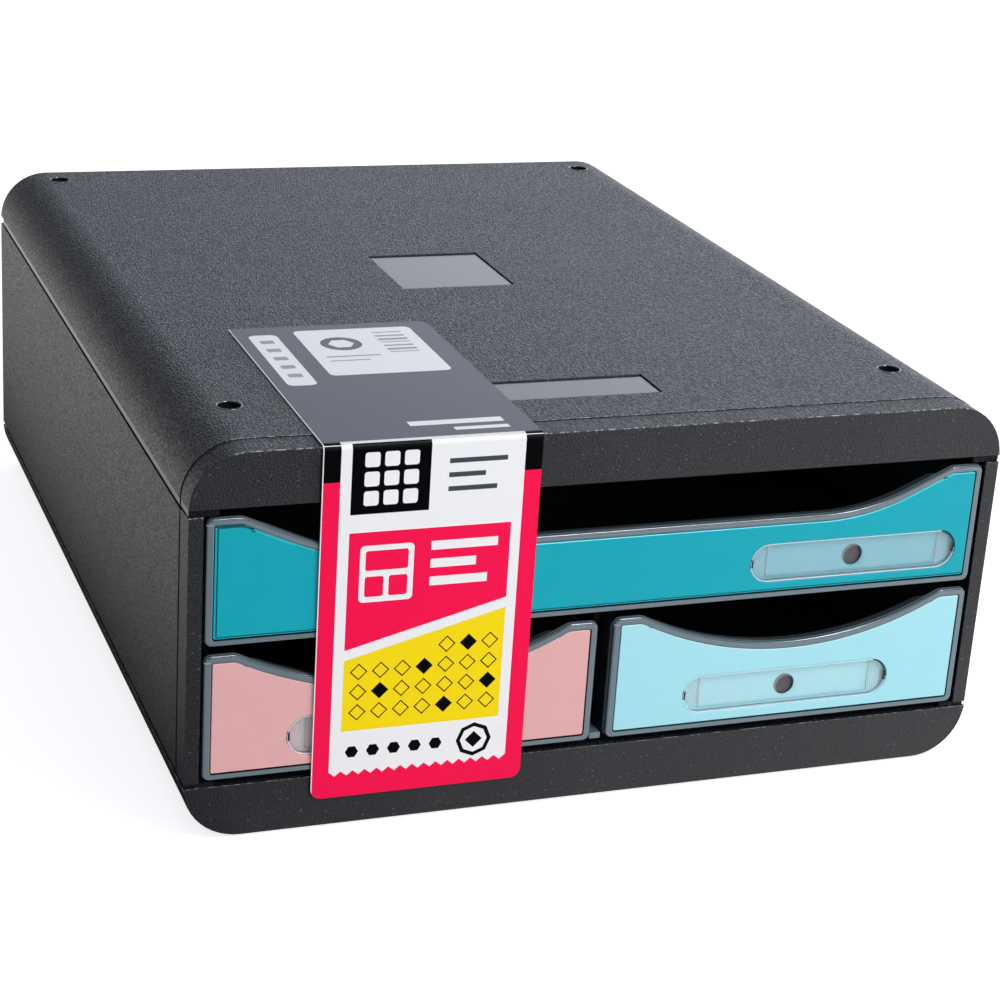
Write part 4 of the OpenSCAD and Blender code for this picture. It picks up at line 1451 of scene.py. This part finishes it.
@dataclass
class Tag:
    """Folded card tag: lies on the cover, turns over the front edge and hangs before the drawers.

    u runs across the card from its middle, q along it from the fold, positive where it hangs.
    """

    centre: float = -62.5
    half: float = 35.5
    bend_y: float = -172.6
    bend_z: float = 128.4
    bend_r: float = 1.8
    rear_q: float = -118.5
    end_q: float = 119.0
    split_q: float = 28.0
    thickness: float = 0.3
    corner: float = 3.5
    rear_corner: float = 3.6
    bow: float = 0.16
    hang_in: float = 0.14

    @property
    def arc_half(self) -> float:
        """Half the length of card in the fold's bend."""
        return self.bend_r * math.pi / 4

    def place(self, u: float, q: float) -> Vector:
        """Point of the card's middle layer in space; its hanging part bows forward by a hair.

        Args:
            u: place across the card.
            q: place along the card, 0 at the middle of the fold.

        Returns:
            The point in millimetres.
        """
        x = self.centre + u
        wave = math.sin((u / self.half) * 2.2 + 0.5) * math.sin(max(q, 0.0) / self.end_q * math.pi) ** 2
        if q < -self.arc_half:
            return Vector((x, self.bend_y - q - self.arc_half, self.bend_z + self.bend_r))
        if q > self.arc_half:
            return Vector((x, self.bend_y - self.bend_r + self.hang_in - max(self.bow * wave, 0) * 0.6,
                           self.bend_z - (q - self.arc_half)))
        a = (q + self.arc_half) / self.bend_r
        return Vector((x, self.bend_y - (self.bend_r - self.hang_in) * math.sin(a),
                       self.bend_z + self.bend_r * math.cos(a)))

    def rect(self, ink: Ink, u0: float, u1: float, q0: float, q1: float, r: float = 0.0) -> Print:
        """A rectangle, with rounded corners where r is set.

        Args:
            ink: its colour.
            u0: left side.
            u1: right side.
            q0: side nearer the card's rear end.
            q1: side nearer its hanging end.
            r: radius of the corners.

        Returns:
            The printed area.
        """
        if r <= 0:
            return Print(ink, ((u0, q0), (u1, q0), (u1, q1), (u0, q1)))
        points = (arc(u1 - r, q0 + r, r, -90, 0, 5) + arc(u1 - r, q1 - r, r, 0, 90, 5)
                  + arc(u0 + r, q1 - r, r, 90, 180, 5) + arc(u0 + r, q0 + r, r, 180, 270, 5))
        return Print(ink, tuple(points))

    def disc(self, ink: Ink, u: float, q: float, r: float, steps: int = 28) -> Print:
        """A disc, or a polygon with few steps."""
        return Print(ink, tuple(arc(u, q, r, 0, 360, steps)[:-1]))

    def zigzag(self) -> Print:
        """Red foot of the card with its pinked upper edge.

        Returns:
            The printed area.
        """
        teeth, reach, level, deep = 15, 29.8, 110.8, 0.8
        edge = [(-reach + 2 * reach * i / (2 * teeth), level + (deep if i % 2 else -deep))
                for i in range(2 * teeth + 1)]
        return Print(Ink.RED, tuple(edge + [(reach, 130.0), (-reach, 130.0)]))

    def borders(self) -> list[Print]:
        """Grounds and border bands.

        Returns:
            Printed areas, the lowest first.
        """
        rect = self.rect
        made = [rect(Ink.SLATE, -35.2, 60, -200, -2.2)]
        for u0, u1 in ((-35.2, -29.8), (29.8, 60)):
            made += [rect(Ink.BLACK, u0, u1, -2.2, 11.5), rect(Ink.WHITE, u0, u1, -0.35, -0.1),
                     rect(Ink.RED, u0, u1, 11.5, 130)]
        return made + [self.zigzag()]

    def front_motifs(self) -> list[Print]:
        """Grid of squares, bars, panel of boxes, lozenges, dots and badge on the hanging part.

        Returns:
            Printed areas, the lowest first.
        """
        rect, disc = self.rect, self.disc
        made = [rect(Ink.BLACK, -26.3, -1.0, -0.6, 22.5),
                Print(Ink.RED, ((-26.3, 28.5), (26.5, 28.5), (26.5, 54.0), (-26.3, 68.0))),
                Print(Ink.YELLOW, ((-26.3, 71.5), (26.5, 57.5), (26.5, 96.0), (-26.3, 96.0)))]
        pitch = 6.3
        for i in range(3):
            for j in range(3):
                u, q = -22.2 + pitch * i, 2.4 + pitch * j
                made.append(rect(Ink.WHITE, u, -17.4 + pitch * i, q, 7.2 + pitch * j, 0.9))
        for i, w in enumerate((19.0, 12.0, 16.0)):
            made.append(rect(Ink.SLATE, 5.0, 5.0 + w, 6.0 + 4.6 * i, 7.6 + 4.6 * i))
        made += [rect(Ink.WHITE, -22.5, -5.0, 33.0, 52.0, 1.5), rect(Ink.RED, -20.7, -6.8, 34.8, 41.4, 0.8),
                 rect(Ink.RED, -20.7, -14.6, 43.4, 50.2, 0.8), rect(Ink.RED, -12.9, -6.8, 43.4, 50.2, 0.8)]
        for i, w in enumerate((22.0, 15.0, 19.0)):
            made.append(rect(Ink.WHITE, 0.5, 0.5 + w, 33.0 + 6.0 * i, 36.0 + 6.0 * i))
        for j in range(4):
            for i in range(7):
                u, q = -21.3 + 7.2 * i, 68.6 + 7.0 * j
                if q < 76.5 - 0.265 * (u + 26.3):
                    continue
                made.append(disc(Ink.BLACK, u, q, 2.9, 4))
                if (i + 2 * j) % 5:
                    made.append(disc(Ink.YELLOW, u, q, 2.35, 4))
        made += [disc(Ink.BLACK, 18.5, 103.4, 6.0, 8), disc(Ink.WHITE, 18.5, 103.4, 4.6, 8),
                 disc(Ink.BLACK, 18.5, 103.4, 2.9, 4)]
        for i in range(5):
            made.append(disc(Ink.BLACK, -22.5 + 7.0 * i, 103.4, 2.2, 6))
        return made

    def top_motifs(self) -> list[Print]:
        """Label, leaflet strip and bars on the lying part.

        Returns:
            Printed areas, the lowest first.
        """
        rect, disc = self.rect, self.disc
        made = [rect(Ink.WHITE, -14.5, 27.5, -113.0, -64.0, 2.4),
                rect(Ink.WHITE, -31.0, -21.0, -110.0, -56.0, 2.4),
                rect(Ink.WHITE, -4.0, 27.0, -16.5, -12.5), rect(Ink.WHITE, 9.0, 27.0, -9.5, -6.8)]
        for i in range(7):
            q = -108.0 + 3.6 * i
            made.append(rect(Ink.GREY, 12.5, 23.0, q, q + (0.9 + 0.6 * (i % 3))))
        made += [disc(Ink.SLATE, -1.5, -97.0, 7.2), disc(Ink.WHITE, -1.5, -97.0, 4.6, 6),
                 rect(Ink.GREY, -10.5, 8.5, -84.0, -82.8), rect(Ink.GREY, -10.5, 3.5, -79.5, -78.5)]
        for i in range(5):
            made.append(rect(Ink.GREY, -28.4, -23.6, -104.0 + 9.0 * i, -100.4 + 9.0 * i, 0.6))
        return made

    def prints(self) -> list[Print]:
        """Every printed shape, the lowest first."""
        return self.borders() + self.front_motifs() + self.top_motifs()

    def outline(self) -> list[Flat]:
        """Cut edge of the card.

        Returns:
            Corners in the card's own plane.
        """
        h, r, rear, cut_off = self.half, self.corner, self.rear_corner, 0.4
        return [(-h, self.rear_q + cut_off), (-h + cut_off, self.rear_q),
                *arc(h - rear, self.rear_q + rear, rear, -90, 0, 8), *arc(h - r, self.end_q - r, r, 0, 90, 8),
                *arc(-h + r, self.end_q - r, r, 90, 180, 8)]

    def lines(self) -> list[float]:
        """Levels along the card at which its mesh is divided.

        Returns:
            The levels, in no order.
        """
        levels = [-110 + 12.0 * i for i in range(9)]
        levels += [-self.arc_half + self.arc_half * i / 5 for i in range(11)]
        levels += [-6.0, -3.5, 3.0, 5.0, 8.0, 14.0, 20.0, self.split_q]
        for first, pitch, count in ((34, 5.0, 4), (53, 2.0, 13), (80, 5.0, 8)):
            levels += [first + pitch * i for i in range(count)]
        return levels

    def sheet(self, low: float, high: float) -> bmesh.types.BMesh:
        """Printed face of the card between two levels, in the layers of its inks.

        Args:
            low: lowest q.
            high: highest q.

        Returns:
            The mesh in metres, with a material index per ink.
        """
        prints = self.prints()
        verts: list[Flat] = []
        edges: list[tuple[int, int]] = []

        def path(points: Sequence[Flat], closed: bool) -> None:
            """Adds a constraint line.

            Args:
                points: corners of the line.
                closed: whether the last point is tied to the first.
            """
            first = len(verts)
            verts.extend(points)
            n = len(points)
            edges.extend((first + i, first + (i + 1) % n) for i in range(n if closed else n - 1))

        path(self.outline(), True)
        for shape in prints:
            path(shape.points, True)
        for q in (*self.lines(), low, high):
            path([(-40.0, q), (40.0, q)], False)
        for i in range(-3, 4):
            path([(i * 9.1, self.rear_q - 1), (i * 9.1, self.end_q + 1)], False)
        found, _, faces, *_ = geometry.delaunay_2d_cdt([Vector(v) for v in verts], edges, [], 0, 1e-4)
        card = Print(Ink.WHITE, tuple(self.outline()))
        order = list(Ink)
        bm = bmesh.new()
        points = [bm.verts.new(self.place(v.x, v.y) * MM) for v in found]
        for face in faces:
            u = sum(found[i].x for i in face) / len(face)
            q = sum(found[i].y for i in face) / len(face)
            if not low < q < high or not card.holds(u, q):
                continue
            top = next((s.ink for s in reversed(prints) if s.holds(u, q)), Ink.WHITE)
            made = bm.faces.new([points[i] for i in face])
            made.material_index = order.index(top)
        bmesh.ops.delete(bm, geom=[v for v in bm.verts if not v.link_faces], context="VERTS")
        bmesh.ops.recalc_face_normals(bm, faces=bm.faces)
        if sum(f.normal.z - f.normal.y for f in bm.faces) < 0:
            bmesh.ops.reverse_faces(bm, faces=bm.faces)
        return bm

    def build(self) -> None:
        """Builds the two lengths of the card; the upper one bends across the fold."""
        finishes = [CoatedCard(f"card_coated_{ink.name.lower()}", colour=ink.value,
                               rough=0.6 if ink is Ink.BACK else 0.33,
                               level={Ink.BLACK: 0.05, Ink.WHITE: 0.5}.get(ink, 0.2)) for ink in Ink]
        upper = Piece("tag_upper_length", "cabinet", finishes, "tag_card")
        lower = Piece("tag_lower_length", "tag_upper_part", finishes, "tag_card")
        for piece, low, high, nodes in (
            (upper, self.rear_q - 1, self.split_q, ("tag_top", "tag_crease", "tag_upper_flap")),
            (lower, self.split_q, self.end_q + 1, ("tag_bend", "tag_lower_flap")),
        ):
            obj = piece.shell(self.sheet(low, high), attach=False)
            board = obj.modifiers.new("board", "SOLIDIFY")
            board.thickness, board.offset = self.thickness * MM, 0.0
            board.material_offset = board.material_offset_rim = len(finishes)
            settle(obj)
            obj.data.set_sharp_from_angle(angle=math.radians(40))
            if piece is upper:
                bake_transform(obj)
            else:
                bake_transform(obj)
            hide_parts(*nodes)
            LOG.info("%s: %d faces", obj.name, len(obj.data.polygons))


# ---------------------------------------------------------------- studio


@dataclass(frozen=True)
class Lamp:
    """An area lamp aimed at the cabinet: its place and size in metres, its power in watts."""

    name: str
    spot: tuple[float, float, float]
    size: Flat
    power: float

    def build(self) -> None:
        """Sets up the lamp."""
        light = bpy.data.lights.new(self.name, "AREA")
        light.shape, light.energy = "RECTANGLE", self.power
        light.size, light.size_y = self.size
        obj = bpy.data.objects.new(self.name, light)
        bpy.context.scene.collection.objects.link(obj)
        obj.location = self.spot
        obj.rotation_euler = (Vector((0, 0, 0.05)) - Vector(self.spot)).to_track_quat("-Z", "Y").to_euler()


@dataclass
class Studio:
    """Pale floor, soft lamps, white surroundings and the camera."""

    sky: float = 0.45
    ceiling: float = 0.06
    right_wall: float = 2.25
    overhead: float = 13.0
    floor_glow: float = 0.74
    floor_front: float = 1.15
    floor_side: float = 1.25
    sheet: float = 12.0
    lamps: tuple[Lamp, ...] = (Lamp("key_above", (0.5, -0.85, 1.05), (0.4, 0.4), 6.0),
                               Lamp("fill_right", (1.1, -1.3, 0.34), (2.2, 0.6), 12.0))
    eye: tuple[float, float, float] = (-0.295717, -0.832434, 0.378618)
    turns: tuple[float, float, float] = (-0.3703256, 1.2057908, 0.0665119)
    lens: float = 87.407

    @staticmethod
    def mirrored(tree: bpy.types.NodeTree, ray: bpy.types.Node) -> bpy.types.NodeSocket:
        """Socket that is 1 for glossy and transmission rays.

        Args:
            tree: node tree of the world.
            ray: its light path node.

        Returns:
            The socket.
        """
        either = add(tree, "ShaderNodeMath", {0: ray.outputs["Is Glossy Ray"],
                                              1: ray.outputs["Is Transmission Ray"]}, operation="MAXIMUM")
        return either.outputs[0]

    def build_floor(self) -> None:
        """White floor that keeps the shadow, and a plainer one that pieces mirror."""
        mesh = bpy.data.meshes.new("studio_floor")
        s = self.sheet / 2
        mesh.from_pydata([(-s, -s, 0), (s, -s, 0), (s, s, 0), (-s, s, 0)], [], [(0, 1, 2, 3)])
        floor = bpy.data.objects.new("studio_floor", mesh)
        bpy.context.scene.collection.objects.link(floor)
        made = bpy.data.materials.new("paper_backdrop_white")
        made.use_nodes = True
        tree = made.node_tree
        tree.nodes.clear()
        ray = add(tree, "ShaderNodeLightPath")
        spot = add(tree, "ShaderNodeTexCoord").outputs["Object"]
        at = add(tree, "ShaderNodeSeparateXYZ", {0: spot})
        # what the front mirrors: the floor fades towards the viewer's side
        ahead = add(tree, "ShaderNodeVectorMath", {0: spot, 1: (3.0, 2.8, 0.0)}, operation="DOT_PRODUCT")
        front = add(tree, "ShaderNodeMapRange", {"Value": ahead.outputs["Value"], "From Min": -1.25,
                                                 "From Max": 0.0, "To Max": self.floor_front})
        right = add(tree, "ShaderNodeMapRange", {"Value": at.outputs["X"], "From Min": -0.139,
                                                 "From Max": -0.112})
        # what the left side mirrors: the floor fades forwards and at the contact line
        side = add(tree, "ShaderNodeMapRange", {"Value": at.outputs["Y"], "From Min": -0.7, "From Max": 0.3,
                                                "To Max": self.floor_side})
        left = add(tree, "ShaderNodeMapRange", {"Value": at.outputs["X"], "From Min": -0.145,
                                                "From Max": -0.235})
        fore = add(tree, "ShaderNodeMath", {0: front.outputs["Result"], 1: right.outputs["Result"]},
                   operation="MULTIPLY")
        mirror = add(tree, "ShaderNodeMath", {0: side.outputs["Result"], 1: left.outputs["Result"],
                                              2: fore.outputs[0]}, operation="MULTIPLY_ADD")
        glow = add(tree, "ShaderNodeMath", {0: ray.outputs["Is Camera Ray"], 1: self.floor_glow},
                   operation="MULTIPLY")
        paper = add(tree, "ShaderNodeBsdfDiffuse", {"Color": (0.8, 0.8, 0.8, 1.0)})
        light = add(tree, "ShaderNodeEmission", {"Strength": glow.outputs[0]})
        lit = add(tree, "ShaderNodeAddShader", {0: paper.outputs[0], 1: light.outputs[0]})
        far = add(tree, "ShaderNodeEmission", {"Strength": mirror.outputs[0]})
        both = add(tree, "ShaderNodeMixShader", {0: self.mirrored(tree, ray), 1: lit.outputs[0],
                                                 2: far.outputs[0]})
        add(tree, "ShaderNodeOutputMaterial", {"Surface": both.outputs[0]})
        mesh.materials.append(made)

    def build_world(self) -> None:
        """Surroundings: plain where they light, white where seen, and a small studio where mirrored."""
        world = bpy.data.worlds.new("studio_surroundings")
        bpy.context.scene.world = world
        world.use_nodes = True
        tree = world.node_tree
        tree.nodes.clear()
        ray = add(tree, "ShaderNodeLightPath")
        way = add(tree, "ShaderNodeTexCoord").outputs["Generated"]
        aim = add(tree, "ShaderNodeSeparateXYZ", {0: way})
        # bright wall at the right, above a floor line that is dimmer on the left
        wall = add(tree, "ShaderNodeMapRange", {"Value": aim.outputs["X"], "From Min": -0.14, "From Max": 0.5,
                                                "To Min": self.ceiling, "To Max": self.right_wall})
        sweep = add(tree, "ShaderNodeMapRange", {"Value": aim.outputs["Z"], "From Min": -0.05,
                                                 "From Max": 0.14})
        low = add(tree, "ShaderNodeMapRange", {"Value": aim.outputs["X"], "From Min": -0.5, "From Max": 0.0,
                                               "To Min": 0.4})
        near = add(tree, "ShaderNodeMix", {0: sweep.outputs["Result"], LEVEL_1: low.outputs[0],
                                           LEVEL_2: wall.outputs["Result"]}, data_type="FLOAT")
        # darker towards the viewer's side, and a dark ceiling
        behind = add(tree, "ShaderNodeMapRange", {"Value": aim.outputs["Y"], "From Min": -0.5, "From Max": 0.1,
                                                  "To Min": 0.1})
        ring = add(tree, "ShaderNodeMath", {0: near.outputs[0], 1: behind.outputs["Result"]},
                   operation="MULTIPLY")
        high = add(tree, "ShaderNodeMapRange", {"Value": aim.outputs["Z"], "From Min": 0.3, "From Max": 0.65})
        dim = add(tree, "ShaderNodeMix", {0: high.outputs["Result"], LEVEL_1: ring.outputs[0],
                                          LEVEL_2: self.ceiling}, data_type="FLOAT")
        # soft box overhead, narrow across and long in depth
        broad = add(tree, "ShaderNodeVectorMath", {0: way, 1: (1.5, 0.5, 0.5)}, operation="MULTIPLY")
        off = add(tree, "ShaderNodeVectorMath", {0: broad.outputs[0], 1: (0.44, -0.25, 0.415)},
                  operation="DISTANCE")
        box = add(tree, "ShaderNodeMapRange", {"Value": off.outputs["Value"], "From Min": 0.24,
                                               "From Max": 0.13})
        mirror = add(tree, "ShaderNodeMix", {0: box.outputs[0], LEVEL_1: dim.outputs[0],
                                             LEVEL_2: self.overhead}, data_type="FLOAT")
        lit = add(tree, "ShaderNodeMix", {0: self.mirrored(tree, ray), LEVEL_1: self.sky,
                                          LEVEL_2: mirror.outputs[0]}, data_type="FLOAT")
        level = add(tree, "ShaderNodeMix", {0: ray.outputs["Is Camera Ray"], LEVEL_1: lit.outputs[0],
                                            LEVEL_2: 1.0}, data_type="FLOAT")
        hue = add(tree, "ShaderNodeMix", {0: ray.outputs["Is Camera Ray"], COLOUR_1: (0.93, 0.98, 1.1, 1.0),
                                          COLOUR_2: (1.0, 1.0, 1.0, 1.0)}, data_type="RGBA")
        back = add(tree, "ShaderNodeBackground", {"Color": hue.outputs[COLOUR_OUT],
                                                  "Strength": level.outputs[0]})
        add(tree, "ShaderNodeOutputWorld", {"Surface": back.outputs[0]})

    def build_camera(self) -> None:
        """Camera that looks down on the front and the left side."""
        data = bpy.data.cameras.new("studio_camera")
        data.sensor_fit, data.sensor_width, data.lens = "HORIZONTAL", 36.0, self.lens
        data.clip_start, data.clip_end = 0.01, 50.0
        camera = bpy.data.objects.new("studio_camera", data)
        bpy.context.scene.collection.objects.link(camera)
        yaw, pitch, roll = self.turns
        turn = Matrix.Rotation(yaw, 4, "Z") @ Matrix.Rotation(pitch, 4, "X") @ Matrix.Rotation(roll, 4, "Z")
        camera.matrix_world = Matrix.Translation(self.eye) @ turn
        bpy.context.scene.camera = camera

    def build(self) -> None:
        """Builds the studio."""
        self.build_floor()
        self.build_world()
        for lamp in self.lamps:
            lamp.build()
        self.build_camera()
        bpy.context.scene.view_settings.view_transform = "Standard"


def main() -> None:
    """Builds the studio, the cabinet, its drawers and the tag."""
    logging.basicConfig(level=logging.INFO, format="%(name)s: %(message)s")
    Studio().build()
    Cabinet().build()
    narrow = Scoop(13.7, 27.95, 117.452)
    for drawer in (
        Drawer("upper", Tint.TEAL, 0.0, 133.0, 66.8, 108.7, 11.2, Scoop(13.7, 24.5, 75.0), 88.0, lean=0.3,
               nick=0.5, rim_h=2.1),
        Drawer("left", Tint.ROSE, -67.95, 65.05, 21.0, 63.45, 10.0, narrow, -67.95),
        Drawer("right", Tint.SKY, 67.95, 65.05, 21.0, 63.8, 10.0, narrow, 67.95),
    ):
        drawer.build()
        LOG.info("%s drawer done", drawer.name)
    Tag().build()


if __name__ == "__main__":
    main()
